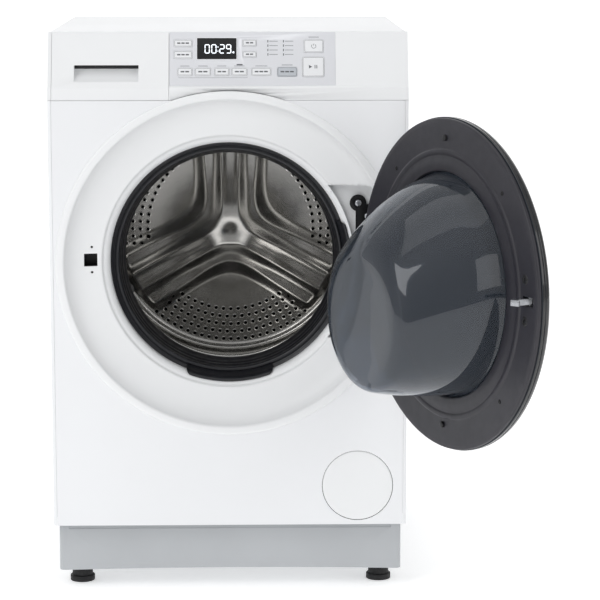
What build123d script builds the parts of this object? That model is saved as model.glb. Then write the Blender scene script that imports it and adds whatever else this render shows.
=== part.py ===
from build123d import *
import os
from math import sin, cos, tan, atan2, sqrt, pi, radians, degrees, hypot

# Front load washing machine. Millimetres. +X to the machine's right as seen
# from the front, +Y towards its back, +Z up. The model is drawn with the front
# panel's outer plane at Y = 0 and moved at the end so that the origin is on the
# floor under the centre of the cabinet.

# ---------------------------------------------------------------- dimensions
W = 595.0            # cabinet width
DEP = 640.0          # cabinet depth, front panel to rear panel
H = 937.0            # height over the top panel
YC = DEP / 2         # shift to the cabinet centre
SHEET = 1.2          # sheet steel

Z_PLINTH0 = 31.5     # underside of the base
Z_BODY = 110.0       # top of the base, bottom of the front panel
Z_SEAM = 826.5       # seam between front panel and fascia
Z_TOP0 = 912.0       # underside of the top panel's skirt

ZD = 554.0           # drum axis height
R_COLLAR = 288.0     # raised collar round the door dish
R_DISH = 273.5       # outer edge of the dish
R_LIP = 199.5        # inner lip, where the gasket starts

LEAN = 20.84         # fascia leans back, degrees
FY0, FZ0 = 12.0, 849.0   # foot of the leaning face

R_DRUM = 245.0       # drum outside radius
R_MOUTH = 184.0      # drum mouth
Y_MOUTH = 172.0      # drum mouth plane
Y_PLATE = 487.0      # drum rear plate
R_TUB = 266.0        # tub outside radius
Y_TUBF = 158.0       # tub front wall at the neck
Y_TUBR = 506.0       # inside of the tub's rear wall

HX, HY = 242.6, -3.2     # door hinge axis
OPEN = 117.3             # opening angle in the stored pose
HINGE_Z = (499.0, 609.0) # height of the two hinge ears
EAR_T = 4.0
R_PIN = 4.0
R_EARBORE = 4.06

R_FRAME = 261.5      # door inner frame
R_COVER = 263.0      # door outer cover
Y_FACE = 12.0        # door inner face when closed

FX, FZ = 215.0, 177.0    # drain filter axis
R_FCOVER = 59.2
FOOT_X = 254.0
FOOT_Y = (61.0, 579.0)
R_FOOT = 21.0
R_STUD = 5.0

R_SHAFT = 14.95
INLET_X, INLET_Z, R_INLET = -240.0, 872.0, 13.2
OUTLET_X, OUTLET_Z, R_OUTLET = 200.0, 150.0, 11.0
CORD_X, CORD_Z = 235.0, 860.0

# ---------------------------------------------------------------- helpers
def bx(x0, x1, y0, y1, z0, z1):
    return Pos((x0 + x1) / 2, (y0 + y1) / 2, (z0 + z1) / 2) * Box(x1 - x0, y1 - y0, z1 - z0)

def cyl_y(x, z, r, y0, y1):
    return Pos(x, (y0 + y1) / 2, z) * Rot(90, 0, 0) * Cylinder(r, y1 - y0)

def cyl_z(x, y, r, z0, z1):
    return Pos(x, y, (z0 + z1) / 2) * Cylinder(r, z1 - z0)

def cyl_x(y, z, r, x0, x1):
    return Pos((x0 + x1) / 2, y, z) * Rot(0, 90, 0) * Cylinder(r, x1 - x0)

def face_of(pts):
    return make_face(Polyline(*pts, close=True))

def rev(pts, x=0.0, z=ZD):
    """Solid of revolution about the Y direction; points are (radius, y)."""
    return Pos(x, 0, z) * revolve(face_of(pts), Axis.Y)

def ext_x(pts, x0, x1):
    """Prism along X from (y, z) points."""
    return Pos(x0, 0, 0) * extrude(Plane.YZ * face_of(pts), amount=x1 - x0)

def ext_z(pts, z0, z1):
    """Prism along Z from (x, y) points."""
    return Pos(0, 0, z0) * extrude(face_of(pts), amount=z1 - z0)

def ext_y(pts, y0, y1):
    """Prism along Y from (x, z) points."""
    return Pos(0, y1, 0) * extrude(Plane.XZ * face_of(pts), amount=y1 - y0)

LEANING = Plane(origin=(0, FY0, FZ0), x_dir=(1, 0, 0),
                z_dir=(0, -cos(radians(LEAN)), sin(radians(LEAN))))

def lb(u0, u1, v0, v1, w0, w1):
    """Box on the leaning face: u across, v up the slope, w out of the face."""
    return LEANING * (Pos((u0 + u1) / 2, (v0 + v1) / 2, (w0 + w1) / 2) * Box(u1 - u0, v1 - v0, w1 - w0))

def lbr(u0, u1, v0, v1, w0, w1, r):
    """The same with rounded corners seen from the front."""
    b = Pos((u0 + u1) / 2, (v0 + v1) / 2, w0) * extrude(RectangleRounded(u1 - u0, v1 - v0, r), amount=w1 - w0)
    return LEANING * b

def rot_pivot(shape, deg):
    """Turn about the door hinge axis."""
    return Pos(HX, HY, 0) * Rot(0, 0, deg) * Pos(-HX, -HY, 0) * shape

nodes = {}

# ---------------------------------------------------------------- base
base = bx(-289, 289, 6, 634, Z_PLINTH0, Z_BODY)
base = fillet(base.edges().filter_by(Axis.Z), 8)
base -= bx(-286, 286, 9, 631, Z_PLINTH0 + 4, Z_BODY + 1)
base -= bx(-272, 272, 5, 7.6, Z_BODY - 7, Z_BODY + 1)
arch_r = 13068.0
base -= Pos(0, 0, Z_PLINTH0 + 3 - arch_r) * Rot(90, 0, 0) * Cylinder(arch_r, 40)
for sx in (-1, 1):
    for fy in FOOT_Y:
        base += cyl_z(sx * FOOT_X, fy, 14, Z_PLINTH0 + 4, 72)
for sx in (-1, 1):
    for fy in FOOT_Y:
        base -= cyl_z(sx * FOOT_X, fy, R_STUD + 0.06, 0, 100)
# saddle seats for the dampers
for sx in (-1, 1):
    for dy in (290.0, 450.0):
        base += bx(sx * 150 - 18, sx * 150 + 18, dy - 18, dy + 18, Z_PLINTH0 + 4, 52)
nodes["base_plinth"] = base

def foot(x, y):
    f = cyl_z(x, y, R_FOOT, 0, 10)
    f += cyl_z(x, y, 17.5, 10, 22)
    f += Pos(x, y, 22) * extrude(RegularPolygon(12.5, 6), amount=8.9)
    f += cyl_z(x, y, R_STUD, 30, 66)
    return f

nodes["foot_front_left"] = foot(-FOOT_X, FOOT_Y[0])
nodes["foot_front_right"] = foot(FOOT_X, FOOT_Y[0])
nodes["feet_rear"] = Compound(children=[foot(-FOOT_X, FOOT_Y[1]), foot(FOOT_X, FOOT_Y[1])])

# ---------------------------------------------------------------- cabinet skin
def side_shell():
    o = bx(-W / 2, W / 2, 0, DEP, Z_BODY, Z_TOP0)
    o = fillet(o.edges().filter_by(Axis.Z), 5)
    i = bx(-W / 2 + SHEET, W / 2 - SHEET, SHEET, DEP - SHEET, Z_BODY - 1, Z_TOP0 + 1)
    i = fillet(i.edges().filter_by(Axis.Z), 3.8)
    return o - i

shell = side_shell()
keep_l = bx(-W / 2 - 1, -291.7, -1, 300, Z_BODY, Z_TOP0) + bx(-W / 2 - 1, -280, 300, DEP + 1, Z_BODY, Z_TOP0)
keep_r = bx(291.7, W / 2 + 1, -1, 300, Z_BODY, Z_TOP0) + bx(280, W / 2 + 1, 300, DEP + 1, Z_BODY, Z_TOP0)
upper_cut = bx(-W, W, -5, 52, Z_SEAM, Z_TOP0 + 5)
side_l = (shell & keep_l) - upper_cut
side_r = (shell & keep_r) - upper_cut
# spring hangers, welded inside the side panels
hang_l = bx(-W / 2 + SHEET, -262, 388, 412, 900, 906)
hang_r = bx(262, W / 2 - SHEET, 388, 412, 900, 906)
nodes["side_panel_left"] = side_l + hang_l
nodes["side_panel_right"] = side_r + hang_r

front = bx(-291.4, 291.4, 0, SHEET, Z_BODY, Z_SEAM - 0.2)
front += bx(-291.4, 291.4, SHEET, 13, Z_BODY, Z_BODY + SHEET)
front += bx(-291.4, 291.4, SHEET, 13, Z_SEAM - 0.2 - SHEET, Z_SEAM - 0.2)
front += bx(-291.4, -291.4 + SHEET, SHEET, 13, Z_BODY, Z_SEAM - 0.2)
front += bx(291.4 - SHEET, 291.4, SHEET, 13, Z_BODY, Z_SEAM - 0.2)
front -= cyl_y(0, ZD, 277.0, -1, 40)
front -= cyl_y(FX, FZ, R_FCOVER + 0.8, -1, 12.5)
nodes["front_panel"] = front

top = bx(-W / 2, W / 2, 52, DEP, Z_TOP0, H)
top = fillet(top.edges().filter_by(Axis.Z), 5)
top = fillet(top.edges().group_by(Axis.Z)[-1], 5)
top -= bx(-W / 2 + 3, W / 2 - 3, 55, DEP - 3, Z_TOP0 - 1, H - 3)
top -= bx(-292.5, -98.5, 51, 56, Z_TOP0 - 1, 927.0)     # passage for the detergent drawer
nodes["top_panel"] = top

rear = bx(-279.5, 279.5, DEP - 1.4, DEP - 0.2, Z_BODY, Z_TOP0 - 0.4)
rear -= cyl_y(0, ZD, 150, DEP - 5, DEP + 5)
bulge = rev([(149.5, DEP - 1.4), (165, DEP - 1.4), (165, DEP - 0.2), (151, DEP - 0.2), (143, DEP + 8), (0, DEP + 8),
             (0, DEP + 6.8), (142.2, DEP + 6.8)])
rear += bulge
for k in range(7):
    z = 240 + 14 * k
    rear -= bx(-120, 120, DEP - 5, DEP + 5, z, z + 5)
rear -= cyl_y(INLET_X, INLET_Z, 15.5, DEP - 5, DEP + 5)
rear -= cyl_y(OUTLET_X, OUTLET_Z, 13.5, DEP - 5, DEP + 5)
rear -= cyl_y(CORD_X, CORD_Z, 9.0, DEP - 5, DEP + 5)
nodes["rear_panel"] = rear

screws = []
for sx in (-1, 1):
    for z in (130, 330, 530, 730, 895):
        screws.append(cyl_y(sx * 268, z, 4.5, DEP - 0.2, DEP + 2))
    screws.append(cyl_y(sx * 200, 924, 4.5, DEP, DEP + 2.2))
nodes["cabinet_screws"] = Compound(children=screws)

# ---------------------------------------------------------------- door surround
ring = rev([
    (R_COLLAR, 0), (R_COLLAR - 0.6, -1.6), (R_COLLAR - 2.6, -3), (276.5, -3), (274.4, -2.2), (R_DISH, -0.4),
    (271.5, 5), (268.0, 10.5), (263.0, 15.5), (256.0, 20.0), (247.0, 23.6), (236.0, 26.4), (224.0, 28.8), (214.5, 30.4),
    (212.0, 32.2), (210.5, 35.0), (206.0, 37.0), (202.0, 41.0), (R_LIP, 47.0), (R_LIP, 58.0),
    (202.5, 58.0), (202.5, 47.8), (204.4, 43.4), (207.6, 40.0), (212.8, 38.0), (214.6, 34.0), (224.6, 31.8),
    (236.7, 29.4), (248.0, 26.6), (257.6, 22.8), (265.4, 17.6), (270.8, 12.0), (274.3, 6.0), (276.4, 0.0)])
pocket_out = (bx(146, 276, 8, 45, 422, 686) & cyl_y(0, ZD, 272.6, 0, 50)) - cyl_y(0, ZD, 206.5, 0, 60)
pocket_in = (bx(149, 275, -10, 42, 425, 683) & cyl_y(0, ZD, 269.6, -10, 50)) - cyl_y(0, ZD, 209.5, -20, 60)
# nothing of the recess wall stands in front of the dish
air = rev([(0, -12), (R_DISH, -12), (R_DISH, -0.4), (271.5, 5), (268.0, 10.5), (263.0, 15.5), (256.0, 20.0), (247.0, 23.6),
           (236.0, 26.4), (224.0, 28.8), (214.5, 30.4), (212.0, 32.2), (210.5, 35.0), (206.0, 37.0), (202.0, 41.0),
           (R_LIP, 47.0), (R_LIP, 60.0), (0, 60.0)])
pocket_out -= air
ring = (ring + pocket_out) - pocket_in
# latch slot and the two witness holes beside it
ring -= bx(-242, -220, 10, 60, 548, 569.5)
ring -= cyl_y(-229, 580.5, 2.1, 10, 60)
ring -= cyl_y(-229, 538.0, 2.1, 10, 60)
nodes["door_surround"] = ring

lock = bx(-258, -216.2, 36.5, 66, 528, 596)
lock -= bx(-241.5, -220.5, 30, 58, 548.5, 569)
lock += bx(-250, -222, 36.5, 60, 600 - 4.1, 606)
nodes["door_lock"] = lock

# ---------------------------------------------------------------- gasket
nodes["door_gasket"] = rev([
    (199.2, 58.3), (199.2, 67), (191, 68), (186.5, 85), (182, 105), (181.5, 116), (186, 126), (194, 132), (202.4, 137),
    (202.4, 160), (199.2, 160), (199.2, 141), (191, 137), (182, 130), (176.5, 119), (176.5, 106), (180, 92), (183.5, 74),
    (184.5, 63), (187.5, 59.3)])

# two flaps of the gasket lie over the lip of the surround: bottom and right
flap = rev([(204.6, 37.6), (204.4, 36.2), (203.2, 35.6), (200.0, 38.0), (195.0, 47.0), (192.0, 58.6), (192.0, 62.0), (199.2, 62.0),
            (199.2, 46.6), (201.4, 40.8)])
for mid, half in ((270.0, 22.0), (-1.0, 21.0)):
    a0, a1 = radians(mid - half), radians(mid + half)
    wedge = Pos(0, 0, ZD) * ext_y([(0, 0), (280 * cos(a0), 280 * sin(a0)), (280 * cos(a1), 280 * sin(a1))], 30, 70)
    nodes["door_gasket"] += flap & wedge

# ---------------------------------------------------------------- fascia
OUT = [(2.0, Z_SEAM + 0.3), (8.0, 847.0), (11.5, 850.2), (44.5, 935.0), (47.5, 937.0), (51.5, 937.0)]
shell_pts = OUT + [(51.5, 933.0), (48.8, 933.0), (15.8, 848.5), (12.0, 845.2), (6.4, Z_SEAM + 0.3)]
solid_pts = OUT + [(51.5, Z_SEAM + 0.3)]
fascia = ext_x(shell_pts, -97.6, 291.5)
fascia += ext_x(solid_pts, 291.5, 297.5) + ext_x(solid_pts, -297.5, -291.5)
fascia += ext_x(solid_pts, -97.6, -94.8)
fascia += bx(-291.5, -97.6, 28, 51.5, Z_SEAM + 0.3, Z_SEAM + 3.0)
fascia += bx(-291.5, -97.6, 49.2, 51.5, 926.5, 933.0)
fascia += bx(-94.8, 291.5, 12, 24, Z_SEAM + 0.3, Z_SEAM + 2.6)
fascia -= cyl_y(0, ZD, R_COLLAR + 0.5, -10, 11)
fascia -= cyl_y(0, ZD, 279.0, -10, 49)
# recess for the inlay
fascia -= lb(-97.0, 177.3, 0.8, 93.6, -2.0, 5)

KEYS = {
    "key_power": (141.4, 69.0, 31.7, 22.0, 2.0), "key_start": (140.4, 33.2, 36.0, 34.4, 3.0),
    "key_course": (97.2, 24.8, 32.4, 16.0, 2.5),
    "key_wash": (-71.5, 25.0, 24.4, 13.4, 2.0), "key_rinse": (-41.8, 25.0, 25.6, 13.4, 2.0),
    "key_spin": (-10.6, 25.0, 24.0, 13.4, 2.0), "key_dry": (18.3, 25.0, 25.4, 13.4, 2.0),
    "key_memory": (54.5, 25.0, 32.0, 13.4, 2.0),
    "key_left_upper": (-74.5, 74.1, 30.0, 12.2, 1.5), "key_left_lower": (-74.5, 54.2, 30.0, 13.2, 1.5),
    "key_right_upper": (35.3, 74.6, 22.6, 11.2, 1.5), "key_right_lower": (35.3, 54.9, 22.6, 10.4, 1.5)}
inlay = lb(-96.8, 177.1, 1.0, 93.4, -2.0, 0.0)
for n, (u, v, w, h, r) in KEYS.items():
    cut = lbr(u - w / 2 - 0.4, u + w / 2 + 0.4, v - h / 2 - 0.4, v + h / 2 + 0.4, -12, 4, r + 0.4)
    inlay -= cut
    fascia -= cut
    key = lbr(u - w / 2, u + w / 2, v - h / 2, v + h / 2, -9.0, 0.9, r)
    key += lb(u - w / 2 - 1.1, u + w / 2 + 1.1, v - h / 2 + 1, v + h / 2 - 1, -6.9, -5.5)
    nodes[n] = key
inlay -= lb(-51.5, 13.9, 46.5, 83.2, -1.3, 4)
nodes["control_fascia"] = fascia
nodes["control_panel"] = inlay
nodes["display_window"] = lb(-51.3, 13.7, 46.7, 83.0, -1.3, 0.25)
board = lb(-90, 168, 8, 64, -16.2, -14.6)
for n, (u, v, w, h, r) in KEYS.items():
    if v < 60:
        board += lb(u - 3, u + 3, v - 3, v + 3, -14.6, -10.6)
board += lb(-50, 12, 40, 62, -14.6, -8)
nodes["control_board"] = board

# ---------------------------------------------------------------- detergent drawer
dsolid = [(2.0, Z_SEAM + 0.3), (8.0, 847.0), (11.5, 850.2), (44.5, 935.0), (46.3, 936.6), (48.6, 936.6), (48.6, 834.0), (26, 834.0), (26, Z_SEAM + 0.3)]
df = ext_x(dsolid, -291.0, -98.1)
cav = [(6.4, Z_SEAM - 2), (12.0, 845.2), (15.8, 848.5), (46.0, 932.0), (46.0, 933.0), (60, 933.0), (60, Z_SEAM - 2)]
inner = ext_x(cav, -288.0, -101.1)
pk_keep = ext_x([(5, 851), (5, 905), (45, 905), (45, 851)], -257.2, -144.8)
inner -= pk_keep
df -= inner
# finger pocket: open face below the slot, undercut above it
pocket = ext_x([(10, 855.5), (16.5, 857.0), (36.0, 869.0), (41.0, 880.0), (41.0, 899.0), (32.5, 899.0), (29.5, 883.0), (10, 883.5)], -254.2, -147.8)
df -= pocket
df += bx(-288.6, -100.5, 46.0, 48.6, 838.5, 914.0)
nodes["drawer_front"] = df

tray = bx(-284, -106, 48.6, 330, 838, 914)
tray -= bx(-281.5, -196, 55, 327, 841, 920)
tray -= bx(-193.5, -150, 55, 220, 841, 920)
tray -= bx(-147.5, -108.5, 55, 220, 841, 920)
tray -= bx(-193.5, -108.5, 222.5, 327, 841, 920)
nodes["drawer_tray"] = tray

hous = bx(-289, -101, 53, 345, 833, 925)
hous -= bx(-286.5, -103.5, 52, 342.5, 835.5, 922.5)
hous -= cyl_z(-197, 250, 11, 830, 840)
hous -= cyl_y(-240, INLET_Z + 45, 5, 340, 350)
nodes["dispenser_housing"] = hous

valve = bx(-262, -218, 592, DEP - 2, INLET_Z - 20, INLET_Z + 20)
valve += cyl_y(INLET_X, INLET_Z, 15.0, DEP - 2, DEP)
valve += cyl_y(INLET_X, INLET_Z, R_INLET, DEP, DEP + 21)
valve -= cyl_y(INLET_X, INLET_Z, 8, DEP, DEP + 22)
valve += cyl_y(INLET_X, INLET_Z + 12, 7, 346, 592)
valve += cyl_z(-240, 610, 14, INLET_Z - 52, INLET_Z - 20)
nodes["inlet_valve"] = valve

# ---------------------------------------------------------------- tub
tubf = rev([(203, 148), (207, 148), (207, Y_TUBF), (258, 170), (R_TUB, 180), (R_TUB, 330), (272, 330), (272, 338),
            (262.5, 338), (262.5, 182), (256, 174), (203, 162)])
tubf += bx(-12, 12, 186, 214, 272, 300) - cyl_y(0, ZD, 262.6, 150, 400)
nozzle = cyl_z(60, 250, 12, 275, 308) - cyl_y(0, ZD, 262.6, 150, 400)
tubf += nozzle
nz2 = cyl_z(-197, 250, 13, 700, 760) - cyl_y(0, ZD, 262.6, 150, 400)
tubf += nz2
for sx in (-1, 1):
    tubf += bx(sx * 150 - 12, sx * 150 + 12, 280, 300, 321, 345) - cyl_y(0, ZD, 262.6, 150, 400)
nodes["tub_front"] = tubf

tubr = rev([(262.5, 338.4), (272, 338.4), (272, 346), (R_TUB, 346), (R_TUB, 504), (258, 510.5), (42, 510.5), (42, 576), (31, 576),
            (31, 518), (18, 518), (18, Y_TUBR), (256, Y_TUBR), (262.5, 500)])
for k in range(6):
    a = 30 + 60 * k
    rib = bx(110, 258, 510, 522, -3, 3)
    tubr += Pos(0, 0, ZD) * Rot(0, a, 0) * rib
for sx in (-1, 1):
    tubr += bx(sx * 150 - 12, sx * 150 + 12, 440, 460, 321, 345) - cyl_y(0, ZD, 262.6, 150, 400 + 100)
    lug = bx(255, 284, 390, 410, 636, 644) if sx > 0 else bx(-284, -255, 390, 410, 636, 644)
    arm = bx(252, 262, 385, 415, 600, 644) if sx > 0 else bx(-262, -252, 385, 415, 600, 644)
    tubr += (lug + arm) - cyl_y(0, ZD, 262.6, 150, 500)
nodes["tub_rear"] = tubr

cw = rev([(211, 114), (262, 114), (262, 150), (257, 168), (211, 157)])
gap = bx(-300, 300, 100, 180, ZD - 45, ZD + 45)
cw -= gap
nodes["counterweights"] = cw

bear = []
for y in (518.5, 556.0):
    bear.append(rev([(R_SHAFT + 0.05, y), (31.0, y), (31.0, y + 16), (R_SHAFT + 0.05, y + 16)]))
nodes["drum_bearings"] = Compound(children=bear)

stator = rev([(42.05, 546), (105, 546), (105, 570), (42.05, 570)])
for k in range(12):
    a = 30 * k
    stator -= Pos(0, 0, ZD) * Rot(0, a, 0) * bx(72, 98, 540, 580, -5, 5)
nodes["motor_stator"] = stator

# ---------------------------------------------------------------- drum
nodes["drum_shell"] = rev([
    (R_MOUTH, 174.2), (R_MOUTH + 1.6, 172.2), (R_MOUTH + 4.6, 172), (R_MOUTH + 6.4, 174), (R_MOUTH + 7, 177), (214, 184), (238, 192), (R_DRUM, 200),
    (R_DRUM, 486), (R_DRUM - 1.5, 486), (R_DRUM - 1.5, 200.6), (237, 193.6), (213.6, 185.6),
    (R_MOUTH + 5.4, 178.6), (R_MOUTH + 4, 180.4), (R_MOUTH + 1.4, 180.2), (R_MOUTH, 178.2)])
plate = rev([(0, 454), (26, 455), (52, 461), (84, 474), (118, 483), (150, 485.4), (R_DRUM - 1.7, 485.4), (R_DRUM - 1.7, 487.6), (150, 487.6),
             (117, 485.2), (83, 476.4), (51, 463.4), (25, 457.2), (0, 456.2)])
nodes["drum_rear_plate"] = plate

shaft = cyl_y(0, ZD, R_SHAFT, 489, 592)
shaft += cyl_y(0, ZD, 40, 489, 503)
for k in range(3):
    a = 30 + 120 * k
    shaft += Pos(0, 0, ZD) * Rot(0, a, 0) * bx(20, 232, 489, 501, -14, 14)
nodes["drum_shaft"] = shaft

rotor = rev([(R_SHAFT, 578), (118, 578), (118, 542), (107.5, 542), (107.5, 540), (124, 540), (124, 582), (30, 582), (30, 588), (R_SHAFT, 588)])
rotor += rev([(107.5, 544), (118.4, 544), (118.4, 574), (107.5, 574)])
nodes["motor_rotor"] = rotor

lift = []
for k in range(3):
    a = -90 + 120 * k
    r1 = R_DRUM - 1.9
    body = ext_y([(r1 - 34, -9), (r1 - 36, 0), (r1 - 34, 9), (r1 - 8, 24), (r1 + 6, 30), (r1 + 6, -30), (r1 - 8, -24)], 215, 470)
    body = Pos(0, 0, ZD) * Rot(0, a, 0) * body
    body = body & cyl_y(0, ZD, r1, 200, 480)
    lift.append(body)
nodes["drum_lifters"] = Compound(children=[b.solids()[0] for b in lift])

# ---------------------------------------------------------------- suspension
spr = []
for sx in (-1, 1):
    s = cyl_z(sx * 272, 400, 9.5, 660, 884) - cyl_z(sx * 272, 400, 7.0, 664, 880)
    s += cyl_z(sx * 272, 400, 1.8, 644.2, 660) + cyl_z(sx * 272, 400, 1.8, 884, 899.8)
    spr.append(s)
nodes["suspension_springs"] = Compound(children=spr)
dmp = []
for sx in (-1, 1):
    for dy in (290.0, 450.0):
        d = cyl_z(sx * 150, dy, 13, 52.2, 200) + cyl_z(sx * 150, dy, 5, 200, 312) + cyl_z(sx * 150, dy, 9, 312, 320.8)
        dmp.append(d)
nodes["dampers"] = Compound(children=dmp)

# ---------------------------------------------------------------- drying unit
dry = cyl_z(165, 440, 80, 838, 898)
dry += bx(105, 225, 200, 440, 846, 892)
dry -= cyl_z(165, 440, 76, 841, 895)
dry -= bx(108.5, 221.5, 203.5, 440, 849.5, 888.5)
dry -= cyl_z(165, 440, 6, 830, 843)
dry += bx(112, 218, 260, 268, 849, 889) - bx(118, 212, 259, 269, 855, 883)
dry += cyl_z(165, 440, 24, 898, 907)
nodes["drying_unit"] = dry
fan = cyl_z(165, 440, 62, 848, 851) + cyl_z(165, 440, 12, 843.5, 885)
for k in range(12):
    a = 30 * k
    fan += Pos(165, 440, 0) * Rot(0, 0, a) * bx(34, 61, -1, 1, 850, 884)
nodes["fan_impeller"] = fan

# ---------------------------------------------------------------- drain
pump = cyl_y(FX, FZ, 38, 27, 236) - cyl_y(FX, FZ, 33.6, 20, 172)
pump += rev([(66, 13.6), (66, 30), (37, 30), (37, 27.2), (63, 27.2), (63, 13.6)], FX, FZ)
pump += cyl_x(200, FZ, 14, 174.4, 182) + cyl_y(FX, FZ, 28, 236, 262)
pump -= cyl_x(200, FZ, 10, 170, 180)
pump += cyl_z(FX, 205, 10, 205, 232)
nodes["drain_pump"] = pump
filt = cyl_y(FX, FZ, 32.8, 24, 34) + cyl_y(FX, FZ, 31, 34, 60)
filt += cyl_y(FX, FZ, 27, 60, 160) - cyl_y(FX, FZ, 24.5, 59, 157)
for k in range(6):
    filt -= Pos(FX, 0, FZ) * Rot(0, 60 * k + 30, 0) * bx(15, 32, 70, 148, -6, 6)
filt += bx(FX - 24, FX + 24, 12.5, 24, FZ - 5, FZ + 5)
nodes["drain_filter"] = filt
fc = cyl_y(FX, FZ, R_FCOVER, 0, 2.6)
fc = fillet(fc.edges().sort_by(Axis.Y)[0], 0.8)
fc += bx(FX - 14, FX + 14, 2.6, 8, FZ - 53.0, FZ - 47.0)
fc += bx(FX - 6, FX + 6, 2.6, 8, FZ + 48, FZ + 51)
nodes["filter_cover"] = fc

out = bx(OUTLET_X - 22, OUTLET_X + 22, DEP - 26, DEP - 1.6, OUTLET_Z - 22, OUTLET_Z + 22)
out += cyl_y(OUTLET_X, OUTLET_Z, 13.0, DEP - 2, DEP)
out += cyl_y(OUTLET_X, OUTLET_Z, R_OUTLET, DEP, DEP + 23)
out -= cyl_y(OUTLET_X, OUTLET_Z, 8, DEP - 20, DEP + 24)
nodes["drain_outlet"] = out

gland = cyl_y(CORD_X, CORD_Z, 8.8, DEP - 12, DEP) + cyl_y(CORD_X, CORD_Z, 14, DEP - 0.2, DEP + 3)
gland += Pos(CORD_X, DEP + 9, CORD_Z) * Rot(-90, 0, 0) * Cone(10, 7, 12)
gland += cyl_y(CORD_X, CORD_Z, 13, DEP - 15, DEP - 1.4) - cyl_y(CORD_X, CORD_Z, 8.7, DEP - 14, DEP)
gland -= cyl_y(CORD_X, CORD_Z, 4.2, DEP - 20, DEP + 20)
nodes["power_cord_gland"] = gland

# soft hoses: dispenser to tub, tub sump to pump
h1 = cyl_z(-197, 250, 17, 761, 832.8) - cyl_z(-197, 250, 13.2, 730, 840)
run1 = cyl_z(60, 250, 15, 193, 274.6)
elbow = Pos(60, 250, 177) * Sphere(22)
dx, dy = 174.0 - 60.0, 200.0 - 250.0
L = hypot(dx, dy)
run2 = Pos(60 + dx / 2, 250 + dy / 2, 177) * Rot(0, 0, degrees(atan2(dy, dx))) * Rot(0, 90, 0) * Cylinder(13, L)
h2 = run1 + elbow + run2
h2 -= bx(173.6, 200, 150, 250, 150, 200)
nodes["tub_hoses"] = Compound(children=[h1, h2.solids()[0]])

# ---------------------------------------------------------------- hinge bracket
def ear2d(grow):
    """Plan outline of one hinge ear, from the pivot round to the bracket plate."""
    p1 = (221.0, 5.0)
    dxe, dye = p1[0] - HX, p1[1] - HY
    le = hypot(dxe, dye)
    nx, ny = -dye / le, dxe / le
    hw = 4.5 + grow
    bar1 = face_of([(HX + nx * hw, HY + ny * hw), (HX - nx * hw, HY - ny * hw), (p1[0] - nx * hw, p1[1] - ny * hw), (p1[0] + nx * hw, p1[1] + ny * hw)])
    bar2 = face_of([(p1[0] - hw, p1[1]), (p1[0] + hw, p1[1]), (p1[0] + hw, 39.0 + grow), (p1[0] - hw, 39.0 + grow)])
    return bar1 + bar2 + Pos(p1[0], p1[1]) * Circle(hw) + Pos(HX, HY) * Circle(7.5 + grow)

plate_h = (bx(212, 264, 39, 42, 444, 650) & cyl_y(0, ZD, 262, 30, 50)) - cyl_y(0, ZD, 211.5, 30, 50)
for (x, z) in ((216, 652), (210, 443)):
    plate_h += cyl_y(x, z, 14, 39, 42)
plate_h = plate_h - (bx(236, 264, 30, 50, 515, 593))
brk = plate_h
for hz in HINGE_Z:
    e = Pos(0, 0, hz - EAR_T / 2) * extrude(ear2d(0), amount=EAR_T)
    e += bx(216.5, 225.5, 39, 40, hz - 2, hz + 2)
    brk += e
for hz in HINGE_Z:
    brk -= cyl_z(HX, HY, R_EARBORE, hz - 10, hz + 10)
for (x, z) in ((216, 652), (232, 630), (210, 443), (230, 470)):
    brk -= cyl_y(x, z, 2.6, 38.9, 40.5)
nodes["hinge_bracket"] = brk

# ---------------------------------------------------------------- door, drawn closed
sweep = None
for hz in HINGE_Z:
    f = ear2d(1.0)
    blk = Pos(0, 0, hz - EAR_T / 2 - 0.8) * extrude(f, amount=EAR_T + 1.6)
    acc = blk
    n = 13
    for k in range(1, n + 1):
        acc = acc + rot_pivot(blk, -OPEN * k / n)
    sweep = acc if sweep is None else sweep + acc

cover = rev([(R_COVER, 5.5), (R_COVER, -3), (261.8, -7), (257.4, -10.6), (246, -13.6), (222, -16.6), (170, -19.4), (100, -21.4), (0, -22.2),
             (0, -19.2), (100, -18.4), (170, -16.4), (221.4, -13.6), (245, -10.7), (255.4, -8.0), (258.9, -5.4), (260, -2.4), (260, 5.5)])
cover -= sweep
frame = rev([(R_FRAME, 6.3), (R_FRAME, 10.4), (260, Y_FACE), (214, Y_FACE), (212, 13.6), (206, 13.6), (204, 12.6), (191, 15), (180, 15), (178.5, 13.6), (178.5, 9),
             (256.5, 9), (256.5, 0), (259.8, 0), (259.8, 6.3)])
# lugs for the latch pivot
frame += bx(-236, -224, -2, 9.5, 545, 551) + bx(-236, -224, -2, 9.5, 567, 573)
frame -= bx(-246, -219, 8.9, 20, 552.0, 566.0)
frame -= cyl_z(-230, 3.5, 2.05, 540, 580)
frame -= sweep
arm = bx(199, 238, 5.4, 8.9, 490, 618) + bx(237, 247, -7.6, 5.6, 490, 618) + bx(230, 247, 3, 8.9, 490, 618)
arm -= sweep
for hz in HINGE_Z:
    arm += cyl_z(HX, HY, R_PIN, hz - 8, hz + 8)
bowl_out = [(6.2, 0.0, 173.8), (24.0, -1.0, 172.0), (60.0, -7.0, 165.0), (105.0, -19.0, 148.0), (140.0, -31.0, 130.0), (156.0, -37.0, 119.0), (163.0, -40.0, 106.0), (166.0, -41.0, 92.0)]
def frusta(levels):
    secs = [(Plane(origin=(0, y, ZD + c), x_dir=(1, 0, 0), z_dir=(0, 1, 0)) * Circle(r)).faces()[0] for y, c, r in levels]
    return loft(secs, ruled=True)
bowl_in = [(4.0, 0.0, 169.5), (23.0, -1.0, 168.0), (59.0, -7.0, 161.0), (103.5, -18.6, 144.0), (137.5, -30.4, 126.0), (153.0, -36.2, 115.4), (159.5, -39.4, 103.0), (162.0, -41.0, 90.0)]
glass = frusta(bowl_out) + cyl_y(0, ZD, 192, 5.5, 9.0)
glass -= frusta(bowl_in)
dsc = []
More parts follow.
